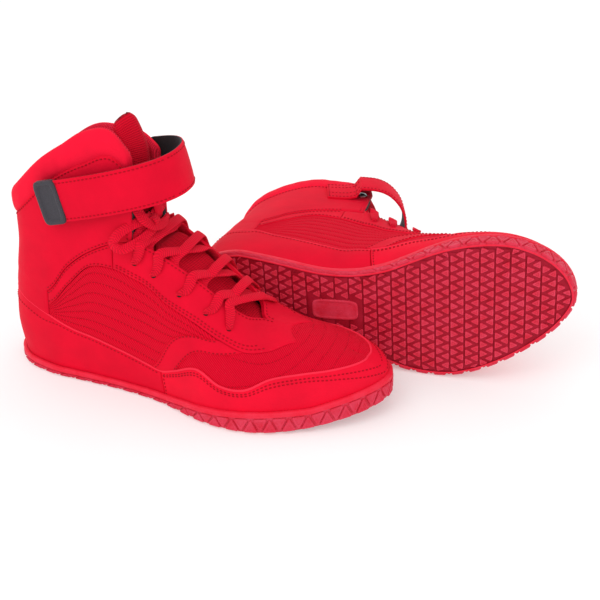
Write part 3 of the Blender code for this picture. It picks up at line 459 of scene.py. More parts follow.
def make_steel(name):
    s = Shader(name, 0.28, 0.5, metallic=1.0)
    s.colour(s.ramp(s.noise(300.0, 3.0), [(0.3, (0.5, 0.5, 0.52)), (0.7, (0.72, 0.72, 0.74))]))
    s.bump(s.noise(900.0, 2.0), 0.1, 0.0001)
    return s.material


RED = srgb(224, 3, 42)
M = {
    "nubuck": make_nubuck("nubuck", RED),
    "guard": make_nubuck("guard_nubuck", srgb(236, 8, 46), 0.66),
    # Lighter and pinker than the nubuck: a painted highlight for the cut top edges of the toe guard and heel
    # foxing.
    "piping": make_nubuck("edge_highlight_nubuck", srgb(246, 42, 70), 0.6),
    "twill": make_twill("twill_mesh", srgb(222, 5, 41)),
    "knit": make_knit("tongue_knit", srgb(208, 10, 38), 1.4, 0.74),
    "collar": make_nubuck("collar_nubuck", srgb(242, 16, 52), 0.75),
    "lining": make_dark("black_lining", (0.012, 0.012, 0.014), 0.85, 1400.0, 0.5),
    "inner": make_knit("collar_knit", srgb(226, 30, 58), 1.6),
    "lace": make_lace_weave("woven_lace", srgb(242, 14, 48)),
    "stitch": make_nubuck("stitch_thread", srgb(176, 4, 30), 0.6),
    "rubber": make_rubber("tread_rubber", srgb(210, 36, 60), srgb(218, 62, 88)),
    "rubber_base": make_rubber("base_rubber", srgb(150, 10, 32), srgb(170, 24, 50), 0.6, 0.25),
    "rim": make_rubber("rim_rubber", srgb(228, 24, 52), srgb(232, 44, 70), 0.5, 0.15),
    "hook": make_dark("hook_tape", (0.02, 0.02, 0.022), 0.95, 2400.0, 1.0),
    "tab": make_dark("moulded_tab", srgb(50, 47, 54), 0.5, 1800.0, 0.25),
    "hole": make_dark("eyelet_shadow", (0.01, 0.004, 0.005), 0.9, 900.0, 0.1),
    "steel": make_steel("eyelet_steel"),
    "insole": make_knit("insole_knit", srgb(140, 8, 26), 1.8),
}

# ---------------------------------------------------------------- making pieces


def add_object(name, data):
    obj = bpy.data.objects.new(name, data)
    bpy.context.scene.collection.objects.link(obj)
    return obj


def boot_of(prefix, side, yaw, pitch, roll, place):
    turn = Matrix.Rotation(math.radians(yaw), 4, "Z") @ Matrix.Rotation(math.radians(pitch), 4, "Y")
    matrix = Matrix.Translation([v * MM for v in place]) @ turn @ Matrix.Rotation(math.radians(roll), 4, "X")
    return {"prefix": prefix, "side": side, "matrix": np.array(matrix)}


def to_world(boot, points):
    points = np.asarray(points, float).reshape(-1, 3) * (MM, MM * boot["side"], MM)
    return points @ boot["matrix"][:3, :3].T + boot["matrix"][:3, 3]


def piece(boot, name, points, faces, material, body="boot", uv=None, sharp=40.0, slots=None):
    """A mesh piece of one boot, from points in millimetres in the boot's own frame."""
    name = boot["prefix"] + name + "_detailed"
    mesh = bpy.data.meshes.new(name)
    mesh.from_pydata(to_world(boot, points).tolist(), [], [list(map(int, f)) for f in faces])
    for entry in ([material] if isinstance(material, str) else material):
        mesh.materials.append(M[entry])
    if slots is not None:
        mesh.polygons.foreach_set("material_index", np.asarray(slots, np.int32))
    if uv is not None:
        layer = mesh.uv_layers.new(name="UVMap")
        loops = np.zeros(len(mesh.loops), np.int32)
        mesh.loops.foreach_get("vertex_index", loops)
        layer.data.foreach_set("uv", np.asarray(uv, np.float32)[loops].ravel())
    work = bmesh.new()
    work.from_mesh(mesh)
    bmesh.ops.recalc_face_normals(work, faces=work.faces)
    work.to_mesh(mesh)
    work.free()
    mesh.shade_smooth()
    if sharp:
        mesh.set_sharp_from_angle(angle=math.radians(sharp))
    obj = add_object(name, mesh)
    if body:
        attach(obj, boot["prefix"] + body)
    return obj


def stands_for(boot, obj, slot, *nodes):
    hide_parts(*[boot["prefix"] + node for node in nodes])
    return obj


GRADED = (0.0, 0.05, 0.2, 0.4, 0.6, 0.8, 0.95)


def cell_block(columns, rows):
    return {(column % COLUMNS, row) for column in columns for row in rows}


def panel(boot, name, cells, layer, material, steps=None, relief=None, uv=None, inset=0.25, drop=0.55,
          warp=None, row_warp=None):
    """A closed panel over whole lattice cells, between two offsets, with its border rounded and drawn in."""
    tc = np.array(GRADED) if steps is None else np.arange(steps[0]) / steps[0]
    tr = np.array(GRADED) if steps is None else np.arange(steps[1]) / steps[1]
    kc, kr = len(tc), len(tr)
    quads = []
    for column, row in sorted(cells):
        i, j = np.meshgrid(np.arange(kc), np.arange(kr), indexing="ij")
        i, j = i.ravel() + column * kc, j.ravel() + row * kr
        quads.append(np.stack([i, j, i + 1, j, i + 1, j + 1, i, j + 1], -1).reshape(-1, 4, 2))
    quads = np.concatenate(quads)
    ic, ir = quads[..., 0] % (COLUMNS * kc), quads[..., 1]
    ridge = (ir == 5 * kr) & (ic >= THROAT_FRONT * kc) & (ic <= (COLUMNS - THROAT_FRONT) * kc)
    ic = np.where(ridge, np.minimum(ic, COLUMNS * kc - ic), ic)
    keys, index = np.unique(ic * 10000 + ir, return_inverse=True)
    faces = index.reshape(-1, 4)
    ic, ir = keys // 10000, keys % 10000
    a = ic // kc + tc[ic % kc]
    r = ir // kr + tr[ir % kr]
    if warp is not None:
        signed = signed_column(a)
        a = np.sign(signed) * warp(np.abs(signed), r)
    if row_warp is not None:
        r = row_warp(a, r)
    place, direction = surf(a, r), normal(a, r)
    edges = np.stack([faces, np.roll(faces, -1, 1)], -1).reshape(-1, 2)
    code = np.sort(edges, 1) @ (1, 10 ** 7)
    _, first, counts = np.unique(code, return_index=True, return_counts=True)
    border = edges[first[counts == 1]]
    on_border = np.zeros(len(a), bool)
    on_border[border.ravel()] = True
    centre = place[faces].mean(1)
    pull = np.zeros_like(place)
    for k in range(4):
        np.add.at(pull, faces[:, k], centre - place[faces[:, k]])
    pull = unit(pull) * np.where(on_border & (ir > 0), inset, 0.0)[:, None]
    top = np.full(len(a), float(layer[0]))
    if relief is not None:
        top += relief(r, place)
    top -= np.where(on_border, drop, 0.0)
    base = place + pull
    count = len(a)
    points = np.concatenate([base + direction * top[:, None], base + direction * layer[1]])
    sides = np.stack([border[:, 1], border[:, 0], border[:, 0] + count, border[:, 1] + count], -1)
    triangles = faces.tolist() + (faces[:, ::-1] + count).tolist() + sides.tolist()
    triangles = [list(dict.fromkeys(f)) for f in triangles]
    triangles = [f for f in triangles if len(f) > 2]
    return piece(boot, name, points, triangles, material, uv=uv(points) if uv else None, sharp=50.0)


def side_uv(points):
    return points[:, [0, 2]]


def top_uv(points):
    return np.stack([points[:, 0], points[:, 1] * (1 + (60 - points[:, 2]) * 0.02)], -1)


def smooth_rows(rows, steps, cyclic=False):
    """Catmull-Rom along the first axis of an array."""
    rows = np.asarray(rows, float)
    count = len(rows)
    result = []
    for i in range(count if cyclic else count - 1):
        around = [rows[(i + k) % count if cyclic else min(max(i + k, 0), count - 1)] for k in (-1, 0, 1, 2)]
        for t in np.arange(steps) / steps:
            w = weights(t)
            result.append(sum(w[k] * around[k] for k in range(4)))
    if not cyclic:
        result.append(rows[-1])
    return np.array(result)


def loft_faces(rings, size, caps=True):
    faces = []
    for low in range(0, (rings - 1) * size, size):
        for i in range(size):
            j = (i + 1) % size
            faces.append((low + i, low + j, low + size + j, low + size + i))
    if caps:
        faces.append(tuple(reversed(range(size))))
        faces.append(tuple((rings - 1) * size + i for i in range(size)))
    return faces


def gather(parts):
    """One point array and one face list from many (points, faces)."""
    points, faces, offset = [], [], 0
    for part_points, part_faces in parts:
        points.append(part_points)
        faces += [tuple(v + offset for v in face) for face in part_faces]
        offset += len(part_points)
    return np.concatenate(points), faces


def distances(points):
    """How far along a polyline each of its points is."""
    return np.concatenate([[0.0], np.cumsum(np.linalg.norm(np.diff(points, axis=0), axis=1))])


def interpolated(s, distance, values):
    return np.array([np.interp(s, distance, column) for column in np.asarray(values).T])


def stitch_row(places, ups, pitch=3.0, length=2.0, radius=0.5, lift=0.1):
    """Little rounded stitches along a polyline."""
    places, ups = np.asarray(places), np.asarray(ups)
    distance = distances(places)
    parts = []
    ring = np.linspace(0, 2 * math.pi, 6, endpoint=False)
    for s in np.arange(pitch / 2, distance[-1] - pitch / 2, pitch):
        ends = [interpolated(s + d, distance, places) for d in (-length / 2, length / 2)]
        up = unit(interpolated(s, distance, ups))
        tangent = unit(ends[1] - ends[0])
        side = unit(np.cross(tangent, up))
        up = np.cross(side, tangent)
        points = []
        for share, scale, sink in ((0.0, 0.35, -0.35), (0.2, 0.9, 0.0), (0.8, 0.9, 0.0), (1.0, 0.35, -0.35)):
            centre = ends[0] + (ends[1] - ends[0]) * share + up * (lift + sink)
            around = side * np.cos(ring)[:, None] + up * np.sin(ring)[:, None]
            points.append(centre + around * radius * scale)
        parts.append((np.concatenate(points), loft_faces(4, 6)))
    return parts


def seam(a, r, mm=0.0, layer=0.0, across=True, **options):
    """Stitches along a line of the surface, which mm moves up, or along the columns, in millimetres."""
    a, r = np.broadcast_arrays(np.asarray(a, float), np.asarray(r, float))
    if mm and across:
        length = np.linalg.norm(surf(a, r + 0.05) - surf(a, r - 0.05), axis=-1) / 0.1
        r = r + mm / length
    elif mm:
        length = np.linalg.norm(surf(a + 0.05, r) - surf(a - 0.05, r), axis=-1) / 0.1
        a = a + mm / length
    return stitch_row(shell(a, r, np.full(a.shape, layer)), normal(a, r), **options)


# ---------------------------------------------------------------- the upper


def band_edge(r, low, high):
    """The column of a line that climbs from the foxing's top (row 2) to the eyestay (row 4)."""
    return low + (high - low) * np.clip((r - 2) / 2, 0, 1)


def strut_warp(a, r):
    left, right = band_edge(r, 8.3, 12.0), band_edge(r, 9.95, 12.95)
    return left + (right - left) * (a - 10) / 2


def patch_column(a, _r):
    return 3.25 + (a - 3) * 0.85


def patch_row(a, r):
    """Rows of the loop patch, from 11 mm below the strap's middle line at row 6 to 11 mm above it at 7."""
    rows = np.linspace(5.0, 7.3, 70)
    result = np.zeros_like(a)
    for k in range(len(a)):
        line = surf(np.full(70, a[k]), rows)
        target = strap_height(line[:, 0]) + (r[k] - 6.5) * 22.0
        result[k] = rows[int(np.argmin(np.abs(line[:, 2] - target)))]
    return result


def quarter_warp(a, r):
    return 3 + (a - 3) * (band_edge(r, 9.1, 12.5) - 3) / 8


def vamp_warp(a, r):
    return TOE - (TOE - a) * (TOE - band_edge(r, 9.1, 12.5)) / 8


def channels(phase, depth, power, sink):
    """Quilting that swells once for each whole step of phase."""
    fraction = phase - np.floor(phase)
    return depth * (1 - np.abs(2 * fraction - 1) ** power) - sink


def quarter_relief(r, _place):
    """Quilted channels that run along the shoe."""
    return channels((np.clip(r, 2, 4) - 2) * 4.0, 0.75, 5, 0.35)


def vamp_relief(_r, place):
    """Quilted arcs round the front end of the throat."""
    away = np.hypot(place[:, 0] - ARC_CENTRE[0], place[:, 1] - ARC_CENTRE[1])
    return channels(away / ARC_PITCH, 0.6, 7, 0.3)


def on_plan(x, y):
    """The column and row of the vamp's surface above points of the plan."""
    grid_a, grid_r = np.meshgrid(np.arange(9.0, 29.0, 0.06), np.arange(2.0, 5.0, 0.04), indexing="ij")
    places = surf(grid_a, grid_r)[..., :2].reshape(-1, 2)
    nearest = [int(np.argmin((places[:, 0] - px) ** 2 + (places[:, 1] - py) ** 2)) for px, py in zip(x, y)]
    found = np.abs(places[nearest] - np.stack([x, y], -1)).max(-1) < 1.2
    return grid_a.ravel()[nearest], grid_r.ravel()[nearest], found


def ankle_relief(r, _place):
    return 1.1 * np.sin(math.pi * np.clip((r - 4.9) / 2.1, 0, 1)) ** 0.8


def make_upper(boot):
    rear = range(-9, 9)
    nubuck = (0.0, -1.5)
    for name, cells, material, nodes in (
        ("heel_foxing", cell_block(rear, (0, 1)), "nubuck", ("heel_foxing", "heel_counter")),
        ("toe_guard", cell_block(range(9, 29), (0, 1)), "guard", ("toe_guard", "toe_puff")),
        ("eyestay", cell_block(range(6, 15), (4,)) | cell_block(range(23, 32), (4,)), "nubuck", ("eyestay",)),
    ):
        stands_for(boot, panel(boot, name, cells, nubuck, material), "nubuck", *nodes)
    sides = {
        "lateral": (range(3, 6), range(0, 3), range(0, 7), range(10, 12), range(3, 11)),
        "medial": (range(32, 35), range(35, 38), range(31, 38), range(26, 28), range(27, 35)),
    }
    for side, (band, heel, ankle, strut, mesh) in sides.items():
        stands_for(boot, panel(boot, "curved_band_" + side, cell_block(band, (4,)), nubuck, "nubuck"),
                   "nubuck", "curved_band_" + side)
        cells = cell_block(ankle, (5, 6)) | cell_block(heel, (2, 3, 4))
        nodes = ["ankle_quarter_" + side] + (["ankle_foam"] if side == "lateral" else [])
        stands_for(boot, panel(boot, "ankle_quarter_" + side, cells, nubuck, "nubuck", relief=ankle_relief),
                   "nubuck", *nodes)
        name = "diagonal_band_" + side
        obj = panel(boot, name, cell_block(strut, (2, 3)), (0.15, -1.6), "nubuck", warp=strut_warp)
        stands_for(boot, obj, "nubuck", name)
        name = "quarter_mesh_" + side
        obj = panel(boot, name, cell_block(mesh, range(1, 4)), (-1.0, -3.3), "twill", steps=(6, 28),
                    relief=quarter_relief, uv=side_uv, drop=0.0, warp=quarter_warp)
        stands_for(boot, obj, "mesh", name)
    cells = cell_block(range(11, 27), range(1, 4)) | cell_block(range(14, 24), (4,))
    obj = panel(boot, "vamp_mesh", cells, (-0.9, -3.3), "twill", steps=(14, 20), relief=vamp_relief, uv=top_uv,
                drop=0.0, warp=vamp_warp)
    stands_for(boot, obj, "mesh", "vamp_mesh")
    lining = cell_block(range(COLUMNS), range(5)) | cell_block(range(-7, 7), (5, 6))
    lining -= cell_block(range(6, 14), (4,)) | cell_block(range(24, 32), (4,))
    obj = panel(boot, "lining", lining, (-5.0, -6.4), "lining", steps=(3, 4), drop=0.0)
    stands_for(boot, obj, "lining", "lining")
    backing = cell_block(range(6, 14), (4,)) | cell_block(range(24, 32), (4,))
    panel(boot, "flap_backing", backing, (-1.7, -3.0), "nubuck", inset=0.0, drop=0.0)
    backing = cell_block(range(6, 7), (5, 6)) | cell_block(range(31, 32), (5, 6))
    panel(boot, "ankle_backing", backing, (-1.6, -4.9), "lining", inset=0.3, drop=0.0)
    obj = panel(boot, "loop_patch", cell_block(range(3, 6), (6,)), (2.6, 0.4), "hook", warp=patch_column,
                row_warp=patch_row)
    stands_for(boot, obj, "hook", "loop_patch")


COLLAR_SIDES = 28


def make_collar(boot):
    """The padded roll round the top of the shaft."""
    columns = np.linspace(-7.0, 7.0, 113)
    turn = np.linspace(0, 2 * math.pi, COLLAR_SIDES, endpoint=False)
    rings = []
    for a in columns:
        end = min(1.0, (7.0 - abs(a)) / 0.22)
        size = math.sqrt(max(0.0, 1 - (1 - end) ** 2)) * 0.9 + 0.1
        cosine, sine = np.cos(turn), np.sin(turn)
        r = 7.49 - 0.58 * np.sign(cosine) * np.abs(cosine) ** 0.8 * (0.6 + 0.4 * size)
        offset = -3.1 + 4.9 * size * np.sign(sine) * np.abs(sine) ** 0.75
        wrinkle = 0.25 * math.sin(a * 3.1) * math.sin(a * 7.7)
        rings.append(shell(np.full(COLLAR_SIDES, a), np.clip(r, 6.9, 8.05),
                           offset + wrinkle * np.maximum(sine, 0)))
    points = np.concatenate(rings)
    faces = loft_faces(len(columns), COLLAR_SIDES)
    halves = [int(i >= COLLAR_SIDES // 2) for i in range(COLLAR_SIDES)]
    inner = halves * (len(columns) - 1) + [0, 0]
    uv = np.stack([np.repeat(columns * 20.0, COLLAR_SIDES), np.tile(turn * 4.0, len(columns))], -1)
    obj = piece(boot, "collar_roll", points, faces, ["collar", "inner"], uv=uv, sharp=0, slots=inner)
    stands_for(boot, obj, "nubuck", "collar_roll")


def tongue_arc(column, depth):
    lateral = [at(-1, column, row, depth) for row in TONGUE_ROWS]
    medial = [at(1, column, row, depth) for row in TONGUE_ROWS]
    centre = (lateral[-1] + medial[-1]) / 2 + np.array((0.3, 0.0, 1.0)) * 0.5
    return lateral + [centre] + medial[::-1]


KEEPER_SECTION = ((-5.2, 0.0), (-5.6, 0.5), (-5.2, 1.1), (-2.5, 1.35), (2.5, 1.35), (5.2, 1.1), (5.6, 0.5),
                  (5.2, 0.0))


def make_tongue(boot):
    rings = []
    for column in TONGUE_COLUMNS:
        depth = TONGUE_DEPTH + 0.4 + 3.4 * max(0.0, column - 12.6) / 1.4
        rings.append(tongue_arc(column, depth) + tongue_arc(column, depth - TONGUE_THICKNESS)[::-1])
    stations = TONGUE_STATIONS + ((99.5, 198.0, 9.5, 4.0),)
    for number, (x, z, half, setback) in enumerate(stations):
        outer, inner = [], []
        for step in range(-3, 4):
            across = step / 3
            ridge = 1.6 * max(0.0, 1 - abs(across) * 2) * (number >= 2)
            crown = (2 - 4 * across ** 2) * (number > 4)
            place = np.array((x - setback * across * across + ridge, half * across, z + crown))
            thinner = 0.5 if number == len(stations) - 1 else 1.0
            thickness = TONGUE_THICKNESS * (1.5 - 0.6 * across * across) * thinner
            outer.append(place)
            inner.append(place - np.array((thickness, half * across * 0.12, 0.0)))
        rings.append(outer + inner[::-1])
    rings = smooth_rows(np.array(rings), 7)
    rings = np.swapaxes(smooth_rows(np.swapaxes(rings, 0, 1), 4, cyclic=True), 0, 1)
    count, size = rings.shape[:2]
    length = distances(rings.mean(1))
    around = np.linspace(0, 72, size)
    swell = (np.sin(length / 4.2) * 0.25)[:, None]
    middle = rings.mean(1, keepdims=True)
    rings = rings + unit(rings - middle) * swell[..., None] * 0.4
    uv = np.stack([np.repeat(length, size), np.tile(around, count)], -1)
    obj = piece(boot, "tongue", rings.reshape(-1, 3), loft_faces(count, size), "knit", uv=uv, sharp=0)
    stands_for(boot, obj, "knit", "tongue")
    low, high = (np.array((x, 0.0, z)) for x, z, _, _ in TONGUE_STATIONS[1:3])
    low = low + (low - high) * 0.15
    run = high - low
    face = unit(np.array((run[2], 0.0, -run[0])))
    path = [low + run * share + face * lift for share, lift in
            ((0.0, 1.6), (0.06, 2.0), (0.2, 4.0), (0.5, 5.2), (0.8, 4.6), (0.95, 2.2), (1.0, 1.4))]
    path = smooth_rows(path, 5)
    rings = []
    for k, place in enumerate(path):
        tangent = unit(path[min(k + 1, len(path) - 1)] - path[max(k - 1, 0)])
        up = unit(np.cross(tangent, (0.0, 1.0, 0.0)))
        if up @ face < 0:
            up = -up
        rings.append(np.array([place + np.array((0.0, y, 0.0)) + up * h for y, h in KEEPER_SECTION]))
    obj = piece(boot, "lace_keeper", np.concatenate(rings), loft_faces(len(rings), 8), "nubuck", sharp=60)
    stands_for(boot, obj, "nubuck", "lace_keeper")
    row = [path[2] + np.array((0.0, y, 0.0)) + face * 1.5 for y in np.linspace(-4.6, 4.6, 6)]
    return stitch_row(row, [face] * 6, pitch=2.2, length=1.5)


# ---------------------------------------------------------------- laces


def ribbon(points, ups, width=7.2, thickness=1.5, widths=None, steps=9):
    """A flat woven ribbon along a route, and its UVs in millimetres."""
    places = smooth_rows(points, steps)
    ups = smooth_rows(ups, steps)
    scale = smooth_rows([[w] for w in (widths or [1.0] * len(points))], steps)[:, 0]
    rings, coordinates = [], []
    section = ((-0.5, 0.0), (-0.47, 0.36), (-0.3, 0.5), (0.0, 0.56), (0.3, 0.5), (0.47, 0.36), (0.5, 0.0),
               (0.47, -0.36), (0.3, -0.5), (0.0, -0.5), (-0.3, -0.5), (-0.47, -0.36))
    distance = 0.0
    for k, place in enumerate(places):
        tangent = unit(places[min(k + 1, len(places) - 1)] - places[max(k - 1, 0)])
        side = unit(np.cross(tangent, ups[k]))
        up = np.cross(side, tangent)
        w = width * scale[k]
        t = thickness * (1.0 + 0.9 * (1 - min(scale[k], 1.0)))
        rings.append(np.array([place + side * u * w + up * v * t for u, v in section]))
        coordinates.append([(distance, u * width + (0 if v >= 0 else 20)) for u, v in section])
        if k + 1 < len(places):
            distance += np.linalg.norm(places[k + 1] - place)
    return np.concatenate(rings), loft_faces(len(rings), len(section)), np.concatenate(coordinates)


def make_laces(boot):
    strands = []

    def surface_up(side, column, row=EYELET_ROW):
        return at(side, column, row, 1.0) - at(side, column, row, 0.0)

    def into_eyelet(side, column):
        """Route from over the flap's edge down into an eyelet: points, ups and widths."""
        eyelet = at(side, column, EYELET_ROW, 0.0)
        edge = at(side, column, 5.0, 0.0)
        n = surface_up(side, column)
        back = unit(eyelet - edge)
        edge_up = unit(surface_up(side, column, 4.98) + THROAT_UP)
        points = [edge + edge_up * 2.1, at(side, column, 4.8, 1.9), at(side, column, 4.62, 1.7),
                  eyelet + n * 0.9 + back * 0.3, eyelet - n * 2.6 + back * 0.6]
        ups = [edge_up, n, unit(n + back * 0.2), unit(n + back * 1.2), back]
        return points, ups, [1.0, 0.98, 0.85, 0.6, 0.5]

    def cross(side, number, lift):
        low, high = EYELET_COLUMNS[side][number], EYELET_COLUMNS[-side][number - 1]
        near_column = low + (high - low) * 0.2
        start = at(side, low, EYELET_ROW, LACE_BELOW)
        near = at(side, near_column, 5.02, LACE_BELOW + 0.8)
        over, ups, widths = into_eyelet(-side, high)
        far = at(-side, max(high + (low - high) * 0.45, 8.6), 5.0, 0.0)
        edge_up = ups[0]
        shift = (far + edge_up * 2.1 - over[0]) * 0.8
        over[:3] = [point + shift * share for point, share in zip(over, (1.0, 0.72, 0.45))]
        across = over[0] - near
        middle = (near + over[0]) / 2 + THROAT_UP * (3.0 + lift)
        points = [start, near, middle - across * 0.2, middle + across * 0.16] + over
        up = unit(THROAT_UP)
        sway = np.array((0.0, 0.18 * side, 0.0))
        near_up = unit(surface_up(side, near_column, 4.98) + sway)
        all_ups = [surface_up(side, low), near_up, unit(up + sway), up] + ups
        return ribbon(points, all_ups, widths=[0.9, 1.0, 1.0, 1.0] + widths)

    for start_side in (-1, 1):
        at_side = start_side
        for number in range(len(EYELET_COLUMNS[1]) - 1, 0, -1):
            strands.append(cross(at_side, number, 1.7 if at_side < 0 else -1.4))
            at_side = -at_side
    left, left_ups, left_widths = into_eyelet(-1, EYELET_COLUMNS[-1][-1])
    right, right_ups, right_widths = into_eyelet(1, EYELET_COLUMNS[1][-1])
    middle = (left[0] + right[0]) / 2 + THROAT_UP * 1.2
    strands.append(ribbon(left[::-1] + [middle] + right, left_ups[::-1] + [THROAT_UP] + right_ups,
                          widths=left_widths[::-1] + [1.0] + right_widths))
    front = np.array((0.95, 0.0, 0.3))
    top = at(-1, EYELET_COLUMNS[-1][0], EYELET_ROW, LACE_BELOW)
    lateral = [top, (111.0, -22.6, 110.5), (115.7, -17.6, 119.0), (116.6, -12.0, 126.0), (117.4, -4.0, 131.5),
               (117.4, 7.0, 132.0), (115.2, 13.5, 137.0), (113.5, 14.5, 145.0)]
    strands.append(ribbon(lateral, [(0.3, -0.8, 0.3), (0.6, -0.6, 0.3), (0.85, -0.4, 0.3)] + [front] * 5))
    top = at(1, EYELET_COLUMNS[1][0], EYELET_ROW, LACE_BELOW)
    medial = [top, (118.5, 18.5, 113.5), (119.0, 13.0, 120.5), (122.0, 4.0, 123.0), (122.5, -6.0, 124.0),
              (121.0, -15.0, 127.0), (117.5, -21.0, 133.5), (113.0, -22.0, 141.0)]
    strands.append(ribbon(medial, [(0.3, 0.8, 0.3), (0.6, 0.6, 0.3)] + [front] * 4 + [(0.8, -0.5, 0.2)] * 2))
    loop = [(117.0, -9.0, 131.0), (117.0, -17.0, 132.0), (110.0, -27.0, 130.0), (103.0, -34.0, 125.0),
            (101.0, -36.5, 119.0), (106.0, -35.5, 115.5), (112.5, -30.0, 117.5), (118.0, -21.0, 121.0),
            (121.5, -10.0, 125.5)]
    strands.append(ribbon(loop, [(0.8, -0.2, 0.5), (0.7, -0.5, 0.5), (0.4, -0.8, 0.4), (0.2, -0.95, 0.2),
                                 (0.2, -0.95, 0.0), (0.3, -0.9, 0.2), (0.5, -0.8, 0.3), (0.8, -0.4, 0.3),
                                 (0.9, -0.2, 0.3)], width=6.6))
    behind = [(117.5, -2.0, 128.0), (118.5, -10.0, 128.5), (114.0, -20.0, 124.0), (111.0, -24.5, 117.5)]
    strands.append(ribbon(behind, [front, front, (0.7, -0.6, 0.3), (0.5, -0.8, 0.2)], width=6.6))
    knot = [(117.2, -9.0, 126.0), (121.0, -9.5, 126.2), (122.2, -10.5, 129.0), (120.0, -11.5, 132.0),
            (116.0, -12.0, 132.0)]
    knot_ups = [(0.0, 0.0, -1.0), (0.7, 0.0, -0.7), front, (0.7, 0.0, 0.7), (0.0, 0.0, 1.0)]
    strands.append(ribbon(knot, knot_ups, width=7.0))
    points, faces = gather([(p, f) for p, f, _ in strands])
    uv = np.concatenate([u for _, _, u in strands])
    obj = piece(boot, "lace", points, faces, "lace", uv=uv, sharp=60)
    stands_for(boot, obj, "lace", "lace")


def rounded_box(angles, half_length, half_width, power):
    """A rectangle with round corners, which a smaller power makes squarer."""
    u, v = np.cos(angles), np.sin(angles)
    return np.sign(u) * np.abs(u) ** power * half_length, np.sign(v) * np.abs(v) ** power * half_width


def disc(centre, axis, profile, sides=24):
    """A lathed ring or disc: profile is (radius, height) pairs, closed."""
    axis = unit(axis)
    first = unit(np.cross(axis, (0.3, 0.5, 0.8)))
    second = np.cross(axis, first)
    rings = []
    for angle in np.linspace(0, 2 * math.pi, sides, endpoint=False):
        turned = first * math.cos(angle) + second * math.sin(angle)
        rings.append(np.array([centre + turned * radius + axis * height for radius, height in profile]))
    size = len(profile)
    points = np.concatenate(rings)
    faces = []
    for k in range(sides):
        for i in range(size):
            j = (i + 1) % size
            n = (k + 1) % sides
            faces.append((k * size + i, k * size + j, n * size + j, n * size + i))
    return points, faces


def make_eyelets(boot):
    holes, rings, steels = [], [], []
    for side in (-1, 1):
        for column in EYELET_COLUMNS[side]:
            eyelet = at(side, column, EYELET_ROW, 0.0)
            axis = at(side, column, EYELET_ROW, 1.0) - eyelet
            eyelet = eyelet + unit(eyelet - at(side, column, 5.0, 0.0)) * 0.7
            holes.append(disc(eyelet, axis, [(0.02, 0.12), (2.0, 0.12), (2.3, -0.6), (0.02, -0.6)], 20))
            lip = [(2.0, -0.5), (2.05, 0.25), (2.35, 0.42), (2.75, 0.25), (3.1, -0.2)]
            rings.append(disc(eyelet, axis, lip, 20))
        centre = at(side, *TOP_EYELET, 0.9)
        axis = at(side, *TOP_EYELET, 2.0) - centre
        profile = [(2.0, 0.0), (2.0, 0.7), (2.4, 1.15), (3.2, 1.15), (3.9, 0.7), (4.0, 0.0)]
        steels.append(disc(centre, axis, profile, 32))
        holes.append(disc(centre, axis, [(0.02, 0.35), (2.05, 0.35), (2.05, -0.5), (0.02, -0.5)], 20))
    piece(boot, "eyelet_holes", *gather(holes), "hole")
    piece(boot, "eyelet_lips", *gather(rings), "nubuck")
    obj = piece(boot, "top_eyelets", *gather(steels), "steel")
    stands_for(boot, obj, "steel", "top_eyelet_lateral", "top_eyelet_medial")


# ---------------------------------------------------------------- strap


def strap_place(x, y):
    return np.array((x, y, strap_height(x)))


STRAP_UP = np.array((-math.sin(STRAP_TILT), 0.0, math.cos(STRAP_TILT)))


def strap_lines():
    """The strap from its sewn patch on: centre points, up and out directions, and the patch's point count."""
    route = np.array(STRAP_ROUTE)
    fine = smooth_rows(route, ROUTE_STEPS)
    tangents = unit(np.gradient(fine, axis=0))
    places = np.array([strap_place(*p) for p in fine])
    outs = np.stack([-tangents[:, 1], tangents[:, 0], np.zeros(len(fine))], -1)
    ups = np.tile(STRAP_UP, (len(fine), 1))
    patch_places, patch_outs, patch_ups = [], [], []
    for a, lift in ((-4.9, 1.9), (-5.3, 1.9), (-5.7, 2.2), (-6.05, 3.6)):
        rows = np.linspace(5.2, 8.0, 60)
        line = surf(np.full(60, a), rows)
        k = int(np.argmin(np.abs(line[:, 2] - strap_height(line[:, 0]))))
        n = normal(np.array(a), np.array(rows[k]))
        patch_places.append(line[k] + n * lift)
        patch_outs.append(n)
        patch_ups.append(unit(STRAP_UP - n * (STRAP_UP @ n)))
    patch = [smooth_rows(rows, 4) for rows in (patch_places, patch_ups, patch_outs)]
    joined = [np.concatenate(pair) for pair in zip(patch, (places, ups, outs))]
    return *joined, len(patch[0])


def strap_piece(boot, name, places, ups, outs):
    half = STRAP_WIDTH / 2
    section = ((-half, -0.8), (-half - 0.15, 0.0), (-half, 0.75), (-half + 1.0, 1.05), (-half + 2.0, 0.88),
               (-half + 3.2, 1.1), (-half * 0.5, 1.35), (0.0, 1.45), (half * 0.5, 1.35), (half - 3.2, 1.1),
               (half - 2.0, 0.88), (half - 1.0, 1.05), (half, 0.75), (half + 0.15, 0.0), (half, -0.8),
               (half - 1.5, -1.0), (0.0, -1.0), (-half + 1.5, -1.0))
    rings = [place + np.array([up * u + out * v for u, v in section])
             for place, up, out in zip(places, ups, outs)]
    size = len(section)
    dark = [int(i >= 13) for i in range(size)] * (len(rings) - 1) + [0, 0]
    return piece(boot, name, np.concatenate(rings), loft_faces(len(rings), size), ["nubuck", "lining"],
                 body=None, sharp=50, slots=dark)


HOOK_SECTION = ((-13.5, -1.15), (-13.5, -2.1), (0.0, -2.3), (13.5, -2.1), (13.5, -1.15))


